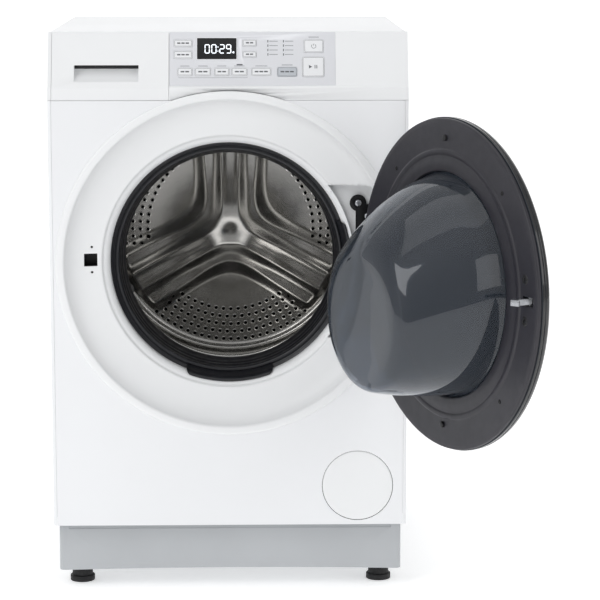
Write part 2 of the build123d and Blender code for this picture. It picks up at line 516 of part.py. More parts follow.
for (x, z) in ((-225, 591), (-225, 528), (-160, 714), (-160, 394), (150, 724), (150, 384)):
    dsc.append(cyl_y(x, z, 3.6, Y_FACE, Y_FACE + 1.2))
for z in (ZD + 231, ZD - 225):
    dsc.append(cyl_y(2, z, 5.0, Y_FACE, Y_FACE + 4.0))
hook = ext_z([(-234, -1.5), (-226, -1.5), (-226, 33.0), (-226, 37.0), (-229, 40.0), (-240, 34.5), (-240, 31.0), (-234, 31.0)], 554.5, 563.5)
hook += cyl_z(-230, 3.5, 5.0, 552.4, 565.6) + cyl_z(-230, 3.5, 2.0, 546, 572)

def opened(s):
    return rot_pivot(s, OPEN)

nodes["door_outer_cover"] = opened(cover)
nodes["door_inner_frame"] = opened(frame)
nodes["door_glass"] = opened(glass)
nodes["door_hinge_arm"] = opened(arm)
nodes["door_screws"] = Compound(children=[opened(d) for d in dsc])
nodes["latch_hook"] = opened(hook)

# ---------------------------------------------------------------- write
os.makedirs("parts", exist_ok=True)
for name, shape in nodes.items():
    s = Pos(0, -YC, 0) * shape
    sol = s.solids()
    if len(sol) == 1:
        s = sol[0]
    else:
        s = Compound(children=list(sol))
    export_step(s, "parts/" + name + ".step")
print(len(nodes), "nodes")
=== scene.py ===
import math
import bpy
import bmesh
from mathutils import Vector, Matrix


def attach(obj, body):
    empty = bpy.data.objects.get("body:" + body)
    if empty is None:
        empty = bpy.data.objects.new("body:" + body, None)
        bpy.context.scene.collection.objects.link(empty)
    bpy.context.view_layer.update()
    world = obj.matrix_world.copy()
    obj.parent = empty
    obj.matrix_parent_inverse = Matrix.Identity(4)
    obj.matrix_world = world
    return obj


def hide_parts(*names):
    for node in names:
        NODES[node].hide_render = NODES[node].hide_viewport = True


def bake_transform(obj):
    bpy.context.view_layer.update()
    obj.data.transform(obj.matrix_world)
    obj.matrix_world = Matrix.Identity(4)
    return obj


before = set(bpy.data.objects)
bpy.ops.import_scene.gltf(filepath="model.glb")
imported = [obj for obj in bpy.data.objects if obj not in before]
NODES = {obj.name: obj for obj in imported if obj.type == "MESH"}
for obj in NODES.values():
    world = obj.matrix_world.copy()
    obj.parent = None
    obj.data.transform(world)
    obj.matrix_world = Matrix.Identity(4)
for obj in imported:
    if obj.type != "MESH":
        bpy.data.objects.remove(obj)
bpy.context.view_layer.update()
SCENE = bpy.context.scene
COL = SCENE.collection

# ---------------------------------------------------------------- geometry
# The CAD is dimensioned in millimetres from the front panel's face (Y = 0)
# and the floor (Z = 0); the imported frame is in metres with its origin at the
# middle of the four feet, 320 mm behind the front panel.
YC = 320.0
AX_Z = 554.0                      # drum axis height
HINGE = (242.6, -3.2)             # door hinge axis in plan
DOOR_OPEN = math.radians(117.3)   # the door's rest angle


def P(x, y, z):
    return Vector((x / 1000.0, (y - YC) / 1000.0, z / 1000.0))


def new_obj(name, verts, faces, smooth=True, mats=None, face_mats=None, angle=35):
    me = bpy.data.meshes.new(name)
    me.from_pydata([tuple(v) for v in verts], [], faces)
    me.validate()
    me.update()
    ob = bpy.data.objects.new(name, me)
    COL.objects.link(ob)
    bm = bmesh.new()
    bm.from_mesh(me)
    bmesh.ops.recalc_face_normals(bm, faces=bm.faces)
    bm.to_mesh(me)
    bm.free()
    if smooth:
        me.polygons.foreach_set("use_smooth", [True] * len(me.polygons))
        me.set_sharp_from_angle(angle=math.radians(angle))
    for m in mats or []:
        me.materials.append(m)
    if face_mats:
        me.polygons.foreach_set("material_index", face_mats)
    return ob


def apply_mods(ob, angle=35):
    bpy.context.view_layer.update()
    dg = bpy.context.evaluated_depsgraph_get()
    me = bpy.data.meshes.new_from_object(ob.evaluated_get(dg), depsgraph=dg)
    old = ob.data
    ob.modifiers.clear()
    ob.data = me
    me.name = ob.name
    if old.users == 0:
        bpy.data.meshes.remove(old)
    me.polygons.foreach_set("use_smooth", [True] * len(me.polygons))
    me.set_sharp_from_angle(angle=math.radians(angle))
    return ob


def boolean(ob, other, op="DIFFERENCE", keep=False):
    m = ob.modifiers.new("b", "BOOLEAN")
    m.operation = op
    m.solver = "EXACT"
    m.object = other
    apply_mods(ob)
    if not keep:
        me = other.data
        bpy.data.objects.remove(other)
        if me.users == 0:
            bpy.data.meshes.remove(me)
    return ob


def bevel(ob, width, seg=2, limit=40, angle=35):
    m = ob.modifiers.new("bv", "BEVEL")
    m.width = width / 1000.0
    m.segments = seg
    m.limit_method = "ANGLE"
    m.angle_limit = math.radians(limit)
    m.harden_normals = False
    m.miter_outer = "MITER_ARC"
    m.use_clamp_overlap = True
    return apply_mods(ob, angle)


def cad_copy(node, name, width=0.0, seg=2, limit=40):
    """A copy of a CAD node's mesh, welded and with softened edges."""
    me = NODES[node].data.copy()
    me.name = name
    ob = bpy.data.objects.new(name, me)
    COL.objects.link(ob)
    bm = bmesh.new()
    bm.from_mesh(me)
    bmesh.ops.remove_doubles(bm, verts=bm.verts, dist=2e-6)
    bmesh.ops.dissolve_limit(bm, angle_limit=math.radians(0.4), verts=bm.verts,
                             edges=bm.edges)
    bm.to_mesh(me)
    bm.free()
    if me.has_custom_normals if hasattr(me, "has_custom_normals") else False:
        me.normals_split_custom_set([(0, 0, 0)] * len(me.loops))
    if width:
        bevel(ob, width, seg, limit)
    else:
        me.polygons.foreach_set("use_smooth", [True] * len(me.polygons))
        me.set_sharp_from_angle(angle=math.radians(35))
    return ob


def revolve(name, prof, seg=256, cx=0.0, cz=AX_Z, closed=True, axis="Y", **kw):
    """Turns a profile of (radius, y) about the drum axis line through cx, cz."""
    verts, faces = [], []
    n = len(prof)
    for j in range(seg):
        a = 2 * math.pi * j / seg
        for r, y in prof:
            verts.append(P(cx + r * math.cos(a), y, cz + r * math.sin(a)))
    for j in range(seg):
        k = (j + 1) % seg
        for i in range(n if closed else n - 1):
            i2 = (i + 1) % n
            faces.append((j * n + i, j * n + i2, k * n + i2, k * n + i))
    ob = new_obj(name, verts, faces, **kw)
    bm = bmesh.new()
    bm.from_mesh(ob.data)
    bmesh.ops.remove_doubles(bm, verts=bm.verts, dist=1e-7)
    bmesh.ops.recalc_face_normals(bm, faces=bm.faces)
    bm.to_mesh(ob.data)
    bm.free()
    return ob


def spline(pts, n=6, closed=False):
    """Centripetal-like Catmull-Rom points through a profile, n per span."""
    out = []
    m = len(pts)
    spans = m if closed else m - 1
    for i in range(spans):
        if closed:
            p0, p1, p2, p3 = (pts[(i - 1) % m], pts[i], pts[(i + 1) % m], pts[(i + 2) % m])
        else:
            p1, p2 = pts[i], pts[i + 1]
            p0 = pts[i - 1] if i else tuple(2 * a - b for a, b in zip(p1, p2))
            p3 = pts[i + 2] if i + 2 < m else tuple(2 * b - a for a, b in zip(p1, p2))
        for k in range(n):
            t = k / n
            out.append(tuple(
                0.5 * ((2 * b) + (-a + c) * t + (2 * a - 5 * b + 4 * c - d) * t * t
                       + (-a + 3 * b - 3 * c + d) * t ** 3)
                for a, b, c, d in zip(p0, p1, p2, p3)))
    if not closed:
        out.append(tuple(pts[-1]))
    return out


def rounded(prof, r, seg=4, closed=True):
    """Rounds the corners of a profile polygon by up to r."""
    out = []
    n = len(prof)
    for i in range(n):
        if not closed and i in (0, n - 1):
            out.append(prof[i])
            continue
        a, b, c = Vector(prof[i - 1]), Vector(prof[i]), Vector(prof[(i + 1) % n])
        d1, d2 = (a - b), (c - b)
        l1, l2 = d1.length, d2.length
        if l1 < 1e-6 or l2 < 1e-6:
            continue
        rr = r[i] if isinstance(r, (list, tuple)) else r
        t = min(rr, 0.45 * l1, 0.45 * l2)
        cosang = max(-1, min(1, d1.dot(d2) / (l1 * l2)))
        if t < 0.02 or math.degrees(math.acos(cosang)) > 172:
            out.append(tuple(b))
            continue
        p1, p2 = b + d1 / l1 * t, b + d2 / l2 * t
        for k in range(seg + 1):
            s = k / seg
            q = p1 * (1 - s) ** 2 + b * 2 * s * (1 - s) + p2 * s * s
            out.append(tuple(q))
    return out


# frames for flat work: origin, u, v, w in front-frame millimetres
S2, C2 = math.sin(math.radians(20.84)), math.cos(math.radians(20.84))
PANEL = (Vector((0, 12, 849)), Vector((1, 0, 0)), Vector((0, S2, C2)), Vector((0, -C2, S2)))
FRONT = (Vector((0, 0, 0)), Vector((1, 0, 0)), Vector((0, 0, 1)), Vector((0, -1, 0)))


def at(fr, u, v, w):
    q = fr[0] + fr[1] * u + fr[2] * v + fr[3] * w
    return P(q.x, q.y, q.z)


def rr(cx, cy, w, h, r, n=6, inset=0.0):
    """A rounded rectangle's outline, anticlockwise."""
    w, h, r = w - 2 * inset, h - 2 * inset, max(r - inset, 0.05)
    r = min(r, w / 2 - 1e-4, h / 2 - 1e-4)
    pts = []
    for qx, qy, a0 in ((1, -1, -90), (1, 1, 0), (-1, 1, 90), (-1, -1, 180)):
        ox, oy = cx + qx * (w / 2 - r), cy + qy * (h / 2 - r)
        for k in range(n + 1):
            a = math.radians(a0 + 90 * k / n)
            pts.append((ox + r * math.cos(a), oy + r * math.sin(a)))
    return pts


def pad(name, fr, cx, cy, w, h, r, w0, w1, b=0.3, n=6, dome=0.0, mats=None, seg=3):
    """A raised rounded-rectangle pad with a rounded top edge, from w0 to w1."""
    rings = [(rr(cx, cy, w, h, r, n), w0)]
    for k in range(seg + 1):
        a = math.pi / 2 * k / seg
        rings.append((rr(cx, cy, w, h, r, n, inset=b * (1 - math.cos(a))),
                      w1 - b + b * math.sin(a)))
    if dome:
        for k in (0.2, 0.45, 0.7, 0.9):
            s = min(w, h) / 2 * k
            rings.append((rr(cx, cy, w, h, r, n, inset=b + s * 0.95),
                          w1 + dome * (1 - (1 - k) ** 2)))
    verts, faces = [], []
    m = len(rings[0][0])
    for pts, z in rings:
        verts += [at(fr, x, y, z) for x, y in pts]
    for i in range(len(rings) - 1):
        for j in range(m):
            k = (j + 1) % m
            faces.append((i * m + j, i * m + k, (i + 1) * m + k, (i + 1) * m + j))
    faces.append(tuple(range(m - 1, -1, -1)))
    faces.append(tuple((len(rings) - 1) * m + j for j in range(m)))
    return new_obj(name, verts, faces, mats=mats)


def prism(name, fr, outline, w0, w1, mats=None, angle=35):
    m = len(outline)
    verts = [at(fr, x, y, w0) for x, y in outline] + [at(fr, x, y, w1) for x, y in outline]
    faces = [(j, (j + 1) % m, m + (j + 1) % m, m + j) for j in range(m)]
    faces += [tuple(range(m - 1, -1, -1)), tuple(range(m, 2 * m))]
    return new_obj(name, verts, faces, mats=mats, angle=angle)


def strip(name, fr, outline, width, w0, w1, closed=True, mats=None):
    """A thin raised line of the given width along an outline."""
    m = len(outline)
    inner, outer = [], []
    for i in range(m):
        a = Vector(outline[i - 1] if closed or i else outline[i])
        b = Vector(outline[i])
        c = Vector(outline[(i + 1) % m] if closed or i < m - 1 else outline[i])
        t = (c - a)
        if t.length < 1e-9:
            t = Vector((1, 0))
        t.normalize()
        nrm = Vector((t.y, -t.x))
        outer.append(b + nrm * width / 2)
        inner.append(b - nrm * width / 2)
    verts, faces = [], []
    for z in (w0, w1):
        verts += [at(fr, p.x, p.y, z) for p in outer]
        verts += [at(fr, p.x, p.y, z) for p in inner]
    n = m if closed else m - 1
    for i in range(n):
        k = (i + 1) % m
        faces.append((i, k, m + k, m + i))
        faces.append((2 * m + i, 3 * m + i, 3 * m + k, 2 * m + k))
        faces.append((i, 2 * m + i, 2 * m + k, k))
        faces.append((m + i, m + k, 3 * m + k, 3 * m + i))
    if not closed:
        faces.append((0, m, 3 * m, 2 * m))
        faces.append((m - 1, 3 * m - 1, 4 * m - 1, 2 * m - 1))
    return new_obj(name, verts, faces, mats=mats)


def box_obj(name, x0, x1, y0, y1, z0, z1):
    v = [P(x, y, z) for x in (x0, x1) for y in (y0, y1) for z in (z0, z1)]
    f = [(0, 1, 3, 2), (4, 6, 7, 5), (0, 4, 5, 1), (2, 3, 7, 6), (0, 2, 6, 4), (1, 5, 7, 3)]
    return new_obj(name, v, f, smooth=False)


def cyl_y(name, cx, cz, r, y0, y1, seg=48):
    """A plug along Y used to cut round holes."""
    verts, faces = [], []
    for y in (y0, y1):
        for j in range(seg):
            a = 2 * math.pi * j / seg
            verts.append(P(cx + r * math.cos(a), y, cz + r * math.sin(a)))
    faces = [(j, (j + 1) % seg, seg + (j + 1) % seg, seg + j) for j in range(seg)]
    faces += [tuple(range(seg - 1, -1, -1)), tuple(range(seg, 2 * seg))]
    return new_obj(name, verts, faces)


def join(name, obs):
    """One object from several, keeping their materials."""
    me = bpy.data.meshes.new(name)
    bm = bmesh.new()
    slots = []
    for o in obs:
        idx = []
        for m in o.data.materials:
            if m not in slots:
                slots.append(m)
            idx.append(slots.index(m))
        n0 = len(bm.faces)
        bm.from_mesh(o.data)
        bm.faces.ensure_lookup_table()
        for f in bm.faces[n0:]:
            f.material_index = idx[f.material_index] if idx and f.material_index < len(idx) else 0
    bm.to_mesh(me)
    bm.free()
    for m in slots:
        me.materials.append(m)
    for o in obs:
        old = o.data
        bpy.data.objects.remove(o)
        if old.users == 0:
            bpy.data.meshes.remove(old)
    me.polygons.foreach_set("use_smooth", [True] * len(me.polygons))
    me.set_sharp_from_angle(angle=math.radians(35))
    ob = bpy.data.objects.new(name, me)
    COL.objects.link(ob)
    return ob


HX, HY = HINGE
HP = P(HX, HY, 0)
TO_OPEN = (Matrix.Translation(HP) @ Matrix.Rotation(DOOR_OPEN, 4, "Z")
           @ Matrix.Translation(-HP))


def to_door(*obs):
    """Turns pieces drawn on the closed door to where the door rests."""
    for o in obs:
        o.data.transform(TO_OPEN)
    return obs[0]


def put(ob, body, slot, *nodes, mat=None):
    if mat is not None:
        ob.data.materials.clear()
        ob.data.materials.append(mat)
    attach(ob, body)
    if nodes:
        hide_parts(*nodes)
    return ob

# --------------------------------------------------------------- materials
def lin(c):
    """sRGB 0..255 to linear RGBA."""
    out = []
    for v in c:
        v = v / 255.0
        out.append(v / 12.92 if v <= 0.04045 else ((v + 0.055) / 1.055) ** 2.4)
    return (*out, 1.0)


def lighter(c, k):
    return tuple(max(0, min(255, v + k)) for v in c)


def surface(name, rgb, rough=0.4, metal=0.0, vary=4, vscale=6.0, rvary=0.05,
            bump=0.0, bscale=900.0, coat=0.0, coat_rough=0.05, spec=None,
            stretch=(1, 1, 1), detail=4.0, aniso=None, ior=None, trans=None,
            emit=None):
    """A moulded or painted surface: mottled colour, uneven gloss, fine grain."""
    m = bpy.data.materials.new(name)
    m.use_nodes = True
    nt = m.node_tree
    bs = nt.nodes["Principled BSDF"]
    tc = nt.nodes.new("ShaderNodeTexCoord")
    mp = nt.nodes.new("ShaderNodeMapping")
    mp.inputs["Scale"].default_value = stretch
    nt.links.new(tc.outputs["Object"], mp.inputs["Vector"])
    n1 = nt.nodes.new("ShaderNodeTexNoise")
    n1.inputs["Scale"].default_value = vscale
    n1.inputs["Detail"].default_value = detail
    nt.links.new(mp.outputs["Vector"], n1.inputs["Vector"])
    ramp = nt.nodes.new("ShaderNodeValToRGB")
    ramp.color_ramp.elements[0].position = 0.3
    ramp.color_ramp.elements[1].position = 0.7
    ramp.color_ramp.elements[0].color = lin(lighter(rgb, -vary))
    ramp.color_ramp.elements[1].color = lin(lighter(rgb, vary * 0.5))
    nt.links.new(n1.outputs["Fac"], ramp.inputs["Fac"])
    nt.links.new(ramp.outputs["Color"], bs.inputs["Base Color"])
    n2 = nt.nodes.new("ShaderNodeTexNoise")
    n2.inputs["Scale"].default_value = vscale * 4.7
    n2.inputs["Detail"].default_value = 6.0
    nt.links.new(mp.outputs["Vector"], n2.inputs["Vector"])
    mr = nt.nodes.new("ShaderNodeMapRange")
    mr.inputs["From Min"].default_value = 0.3
    mr.inputs["From Max"].default_value = 0.7
    mr.inputs["To Min"].default_value = max(0.01, rough - rvary)
    mr.inputs["To Max"].default_value = min(1.0, rough + rvary)
    nt.links.new(n2.outputs["Fac"], mr.inputs["Value"])
    nt.links.new(mr.outputs["Result"], bs.inputs["Roughness"])
    bs.inputs["Metallic"].default_value = metal
    if bump:
        n3 = nt.nodes.new("ShaderNodeTexNoise")
        n3.inputs["Scale"].default_value = bscale
        n3.inputs["Detail"].default_value = 3.0
        nt.links.new(mp.outputs["Vector"], n3.inputs["Vector"])
        bp = nt.nodes.new("ShaderNodeBump")
        bp.inputs["Strength"].default_value = bump
        bp.inputs["Distance"].default_value = 0.0002
        nt.links.new(n3.outputs["Fac"], bp.inputs["Height"])
        nt.links.new(bp.outputs["Normal"], bs.inputs["Normal"])
    if coat:
        bs.inputs["Coat Weight"].default_value = coat
        bs.inputs["Coat Roughness"].default_value = coat_rough
    if spec is not None:
        bs.inputs["Specular IOR Level"].default_value = spec
    if ior is not None:
        bs.inputs["IOR"].default_value = ior
    if trans is not None:
        bs.inputs["Transmission Weight"].default_value = trans
    if emit is not None:
        bs.inputs["Emission Color"].default_value = lin(emit[0])
        bs.inputs["Emission Strength"].default_value = emit[1]
    m["ramp"] = ramp.name
    return m


def gradient(m, axis, lo, hi, c0, c1):
    """Makes a surface's colour run from c0 to c1 along the frame's axis, with
    the mottle kept on top."""
    nt = m.node_tree
    bs = nt.nodes["Principled BSDF"]
    old = bs.inputs["Base Color"].links[0].from_socket
    tc = nt.nodes.new("ShaderNodeTexCoord")
    sp = nt.nodes.new("ShaderNodeSeparateXYZ")
    nt.links.new(tc.outputs["Object"], sp.inputs["Vector"])
    mr = nt.nodes.new("ShaderNodeMapRange")
    mr.interpolation_type = "SMOOTHSTEP"
    mr.inputs["From Min"].default_value = lo
    mr.inputs["From Max"].default_value = hi
    nt.links.new(sp.outputs[axis], mr.inputs["Value"])
    ramp = nt.nodes.new("ShaderNodeValToRGB")
    ramp.color_ramp.elements[0].color = lin(c0)
    ramp.color_ramp.elements[1].color = lin(c1)
    nt.links.new(mr.outputs["Result"], ramp.inputs["Fac"])
    mx = nt.nodes.new("ShaderNodeMix")
    mx.data_type = "RGBA"
    mx.blend_type = "MULTIPLY"
    mx.inputs["Factor"].default_value = 1.0
    nt.links.new(ramp.outputs["Color"], mx.inputs["A"])
    nt.links.new(old, mx.inputs["B"])
    nt.links.new(mx.outputs["Result"], bs.inputs["Base Color"])
    return m


M = {}
M["white_steel"] = surface("white_steel", (243, 244, 246), 0.34, vary=1.5, vscale=3, rvary=0.03,
                           bump=0.06, bscale=700, coat=0.25, coat_rough=0.12)
M["white_plastic"] = surface("white_plastic", (244, 245, 246), 0.42, vary=1.5, vscale=5, rvary=0.04,
                             bump=0.05, bscale=1500)
M["silver_plastic"] = surface("silver_plastic", (184, 187, 190), 0.34, metal=0.15, vary=3, vscale=9,
                              rvary=0.04, bump=0.05, bscale=1800)
M["panel_silver"] = surface("panel_silver", (228, 229, 233), 0.34, metal=0.05, vary=2, vscale=8,
                            rvary=0.03, bump=0.04, bscale=2200)
M["display_black"] = surface("display_black", (9, 10, 13), 0.08, vary=2, vscale=12, rvary=0.02,
                             coat=0.6, coat_rough=0.03)
M["key_white"] = surface("key_white", (240, 241, 243), 0.38, vary=2, vscale=30, rvary=0.04,
                         bump=0.04, bscale=2500)
M["door_black"] = surface("door_black", (13, 13, 15), 0.10, vary=2, vscale=8, rvary=0.03,
                          coat=0.7, coat_rough=0.04, bump=0.02, bscale=900)
M["door_liner"] = surface("door_liner", (34, 40, 48), 0.6, vary=3, vscale=6, rvary=0.05)
M["frame_grey"] = surface("frame_grey", (43, 42, 49), 0.42, vary=3, vscale=14, rvary=0.05,
                          bump=0.12, bscale=1600)
M["gasket_rubber"] = surface("gasket_rubber", (25, 26, 31), 0.36, vary=4, vscale=22, rvary=0.08,
                             bump=0.12, bscale=900)
M["foot_rubber"] = surface("foot_rubber", (24, 24, 26), 0.6, vary=4, vscale=40, rvary=0.08,
                           bump=0.3, bscale=1200)
M["black_plastic"] = surface("black_plastic", (24, 24, 27), 0.45, vary=4, vscale=18, rvary=0.06,
                             bump=0.15, bscale=1300)
M["steel_black"] = surface("steel_black", (22, 22, 24), 0.36, metal=0.35, vary=4, vscale=20,
                           rvary=0.06, bump=0.1, bscale=1500)
M["zinc_steel"] = surface("zinc_steel", (176, 178, 182), 0.3, metal=0.95, vary=10, vscale=60,
                          rvary=0.08, bump=0.08, bscale=1800)
M["tub_plastic"] = surface("tub_plastic", (176, 179, 182), 0.5, vary=5, vscale=9, rvary=0.06,
                           bump=0.15, bscale=700)
M["weight_concrete"] = surface("weight_concrete", (128, 126, 122), 0.9, vary=16, vscale=45,
                               rvary=0.06, bump=0.8, bscale=260, detail=10)
M["motor_metal"] = surface("motor_metal", (140, 142, 146), 0.42, metal=0.8, vary=8, vscale=30,
                           rvary=0.08, bump=0.15, bscale=900)
M["bearing_steel"] = surface("bearing_steel", (196, 198, 202), 0.2, metal=1.0, vary=6, vscale=50,
                             rvary=0.05)
M["board_green"] = surface("board_green", (22, 84, 52), 0.4, vary=10, vscale=90, rvary=0.1,
                           bump=0.2, bscale=1400)
M["grey_plastic"] = surface("grey_plastic", (206, 208, 211), 0.45, vary=3, vscale=12, rvary=0.05,
                            bump=0.1, bscale=1300)


def glass_material():
    m = surface("clear_glass", (122, 131, 144), 0.02, vary=2, vscale=14, rvary=0.012,
                trans=0.85, ior=1.5, bump=0.0)
    bs = m.node_tree.nodes["Principled BSDF"]
    m.node_tree.links.remove(bs.inputs["Roughness"].links[0])
    bs.inputs["Roughness"].default_value = 0.0
    return m


M["clear_glass"] = glass_material()


def drum_material(name, holes=True):
    """Polished stainless steel of the drum wall, with rows of punched holes."""
    m = surface(name, (200, 199, 196), 0.22, metal=1.0, vary=6, vscale=9, rvary=0.04)
    if not holes:
        return m
    nt = m.node_tree
    bs = nt.nodes["Principled BSDF"]
    tc = nt.nodes.new("ShaderNodeTexCoord")
    sp = nt.nodes.new("ShaderNodeSeparateXYZ")
    nt.links.new(tc.outputs["Object"], sp.inputs["Vector"])

    def op(kind, a, b=None, c=None):
        n = nt.nodes.new("ShaderNodeMath")
        n.operation = kind
        for i, v in enumerate((a, b, c)):
            if v is None:
                continue
            if isinstance(v, (int, float)):
                n.inputs[i].default_value = v
            else:
                nt.links.new(v, n.inputs[i])
        return n.outputs[0]

    z = op("SUBTRACT", sp.outputs["Z"], AX_Z / 1000.0)
    th = op("ARCTAN2", z, sp.outputs["X"])
    pitch = 0.021
    nth = round(2 * math.pi * 0.245 / pitch / 3) * 3
    row = op("DIVIDE", op("ADD", sp.outputs["Y"], 0.32), pitch * 0.9)
    rowi = op("FLOOR", row)
    rowf = op("SUBTRACT", op("SUBTRACT", row, rowi), 0.5)
    odd = op("MODULO", rowi, 2.0)
    col = op("ADD", op("MULTIPLY", op("DIVIDE", th, 2 * math.pi), nth), op("MULTIPLY", odd, 0.5))
    colf = op("SUBTRACT", op("SUBTRACT", col, op("FLOOR", col)), 0.5)
    d = op("SQRT", op("ADD", op("POWER", op("ABSOLUTE", op("MULTIPLY", rowf, 0.9)), 2.0),
                      op("POWER", op("ABSOLUTE", colf), 2.0)))
    hole = op("LESS_THAN", d, 0.11)
    rad = op("SQRT", op("ADD", op("POWER", op("ABSOLUTE", sp.outputs["X"]), 2.0),
                        op("POWER", op("ABSOLUTE", z), 2.0)))
    wall = op("MULTIPLY", hole, op("GREATER_THAN", rad, 0.2425))
    yin = op("MULTIPLY", op("GREATER_THAN", sp.outputs["Y"], 0.218 - 0.32),
             op("LESS_THAN", sp.outputs["Y"], 0.470 - 0.32))
    wall = op("MULTIPLY", wall, yin)
    # the punched holes are painted near-black: painted shade standing in for the dark tub seen through each hole
    old = bs.inputs["Base Color"].links[0].from_socket
    mx = nt.nodes.new("ShaderNodeMix")
    mx.data_type = "RGBA"
    nt.links.new(wall, mx.inputs["Factor"])
    nt.links.new(old, mx.inputs["A"])
    mx.inputs["B"].default_value = lin((14, 14, 15))
    nt.links.new(mx.outputs["Result"], bs.inputs["Base Color"])
    return m


M["drum_steel"] = drum_material("drum_steel", False)
M["drum_wall"] = drum_material("drum_wall", True)
M["digit_white"] = surface("digit_white", (236, 240, 244), 0.4, vary=2, vscale=80,
                           emit=((225, 232, 240), 0.9))
M["line_dark"] = surface("line_dark", (96, 98, 102), 0.5, vary=4, vscale=60)
M["line_black"] = surface("line_black", (20, 21, 23), 0.5, vary=3, vscale=60)
M["print_grey"] = surface("print_grey", (128, 131, 135), 0.5, vary=4, vscale=60)
M["key_grey"] = surface("key_grey", (196, 200, 206), 0.4, vary=4, vscale=40, bump=0.04, bscale=2500)
M["gap_dark"] = surface("gap_dark", (30, 31, 33), 0.7, vary=4, vscale=30)

# carried-over CAD nodes take the procedural version of their own slot
for _n, _o in NODES.items():
    for _i, _m in enumerate(_o.data.materials):
        if _m is not None and _m.name in M:
            _o.data.materials[_i] = M[_m.name]
        elif _m is not None and _m.name.split(".")[0] in M:
            _o.data.materials[_i] = M[_m.name.split(".")[0]]
for _s, _m in M.items():
    _m.use_fake_user = False

# ------------------------------------------------------------ cabinet skin
def skin(node, slot, width=0.5, seg=2, mat=None, body="cabinet", name=None):
    ob = cad_copy(node, name or ("skin_" + node), width, seg)
    return put(ob, body, slot, node, mat=mat or M[slot])


skin("front_panel", "white_steel", 0.0)
skin("top_panel", "white_steel", 0.0)
for n in ("side_panel_left", "side_panel_right", "rear_panel"):
    skin(n, "white_steel", 0.0)

# base: a moulded plinth with a pressed ledge and a soft bottom edge
plinth = cad_copy("base_plinth", "plinth_moulding", 0.6, 2)
put(plinth, "cabinet", "silver_plastic", "base_plinth", mat=M["silver_plastic"])

# ---------------------------------------------------------- door surround
face = spline([(273.5, -0.4), (271.5, 5), (268.0, 10.5), (263.0, 15.5), (256.0, 20.0),
               (247.0, 23.6), (236.0, 26.4), (224.0, 28.8), (214.5, 30.4)], 5)
prof = ([(288.0, 0.0), (287.9, -0.8), (287.4, -1.7), (286.4, -2.5), (285.2, -2.9), (283.6, -3.0),
         (277.6, -3.0), (276.0, -2.8), (274.8, -2.1), (273.9, -1.1)]
        + face
        + [(213.2, 30.9), (212.2, 31.9), (211.4, 33.4), (210.5, 35.0), (208.8, 36.2), (206.0, 37.0)]
        + spline([(206.0, 37.0), (202.0, 41.0), (199.5, 47.0), (199.5, 58.0)], 4)[1:]
        + [(202.5, 58.0), (202.5, 47.8), (204.4, 43.4), (207.6, 40.0), (212.8, 38.0), (214.6, 34.0),
           (224.6, 31.8), (236.7, 29.4), (248.0, 26.6), (257.6, 22.8), (265.4, 17.6), (270.8, 12.0),
           (274.3, 6.0), (276.4, 0.0)])
ring = revolve("door_surround_ring", prof, seg=288)


def sector_block(name, x0, x1, y0, y1, z0, z1, r0, r1, seg=96):
    """The part of an annulus r0..r1 inside a box: cut and wall of the recess."""
    b = box_obj(name, x0, x1, y0, y1, z0, z1)
    boolean(b, cyl_y("t", 0, AX_Z, r1, -30, 90, 288), "INTERSECT")
    boolean(b, cyl_y("t", 0, AX_Z, r0, -40, 95, 288), "DIFFERENCE")
    return b


po = sector_block("po", 146, 276, 8, 45, 422, 686, 206.5, 272.6)
boolean(po, revolve("air", [(0.001, -12), (273.5, -12), (273.5, -0.4)] + face[1:] + [(212.0, 32.2), (210.5, 35.0), (206.0, 37.0),
        (202.0, 41.0), (199.5, 47.0), (199.5, 60.0), (0.001, 60.0)], seg=288), "DIFFERENCE")
boolean(ring, po, "UNION")
boolean(ring, sector_block("pi", 149, 275, -10, 42, 425, 683, 209.5, 269.6), "DIFFERENCE")
boolean(ring, box_obj("ls", -242, -220, 10, 60, 548, 569.5), "DIFFERENCE")
for _z in (580.5, 538.0):
    boolean(ring, cyl_y("wh", -229, _z, 2.1, 10, 60, 24), "DIFFERENCE")
bevel(ring, 0.5, 2, limit=38)
put(ring, "cabinet", "white_plastic", "door_surround", mat=M["white_plastic"])

# lock housing seen through the latch slot stays as CAD

# ------------------------------------------------------------------ gasket
gp = [(199.2, 58.3), (199.3, 63.0), (198.6, 66.6), (196.0, 68.4), (192.6, 68.9), (190.6, 71.5), (189.2, 76.0),
      (188.6, 79.5), (187.4, 83.2), (185.2, 87.0), (184.6, 93.0), (184.2, 98.0), (183.4, 103.0), (182.6, 108.0),
      (182.2, 114.0), (183.4, 119.0), (187.0, 124.4), (193.5, 129.0), (200.0, 134.0), (202.2, 139.0), (202.4, 148.0),
      (202.4, 160.0), (199.2, 160.0), (199.0, 146.0), (197.4, 140.4), (191.0, 136.0), (184.0, 131.0), (179.6, 125.6),
      (177.2, 120.0), (176.5, 115.0), (176.5, 109.0), (177.4, 105.6), (178.9, 101.0), (179.8, 96.5), (180.2, 92.0),
      (181.2, 88.6), (182.4, 85.8), (182.2, 81.5), (182.8, 77.0), (184.2, 73.8), (184.6, 70.0), (184.3, 66.0),
      (184.9, 62.6), (186.4, 60.4), (189.0, 59.5), (191.6, 60.6), (193.4, 61.8), (195.4, 60.4), (197.4, 58.8)]
gas = revolve("door_gasket_bellows", spline(gp, 3, closed=True), seg=288)
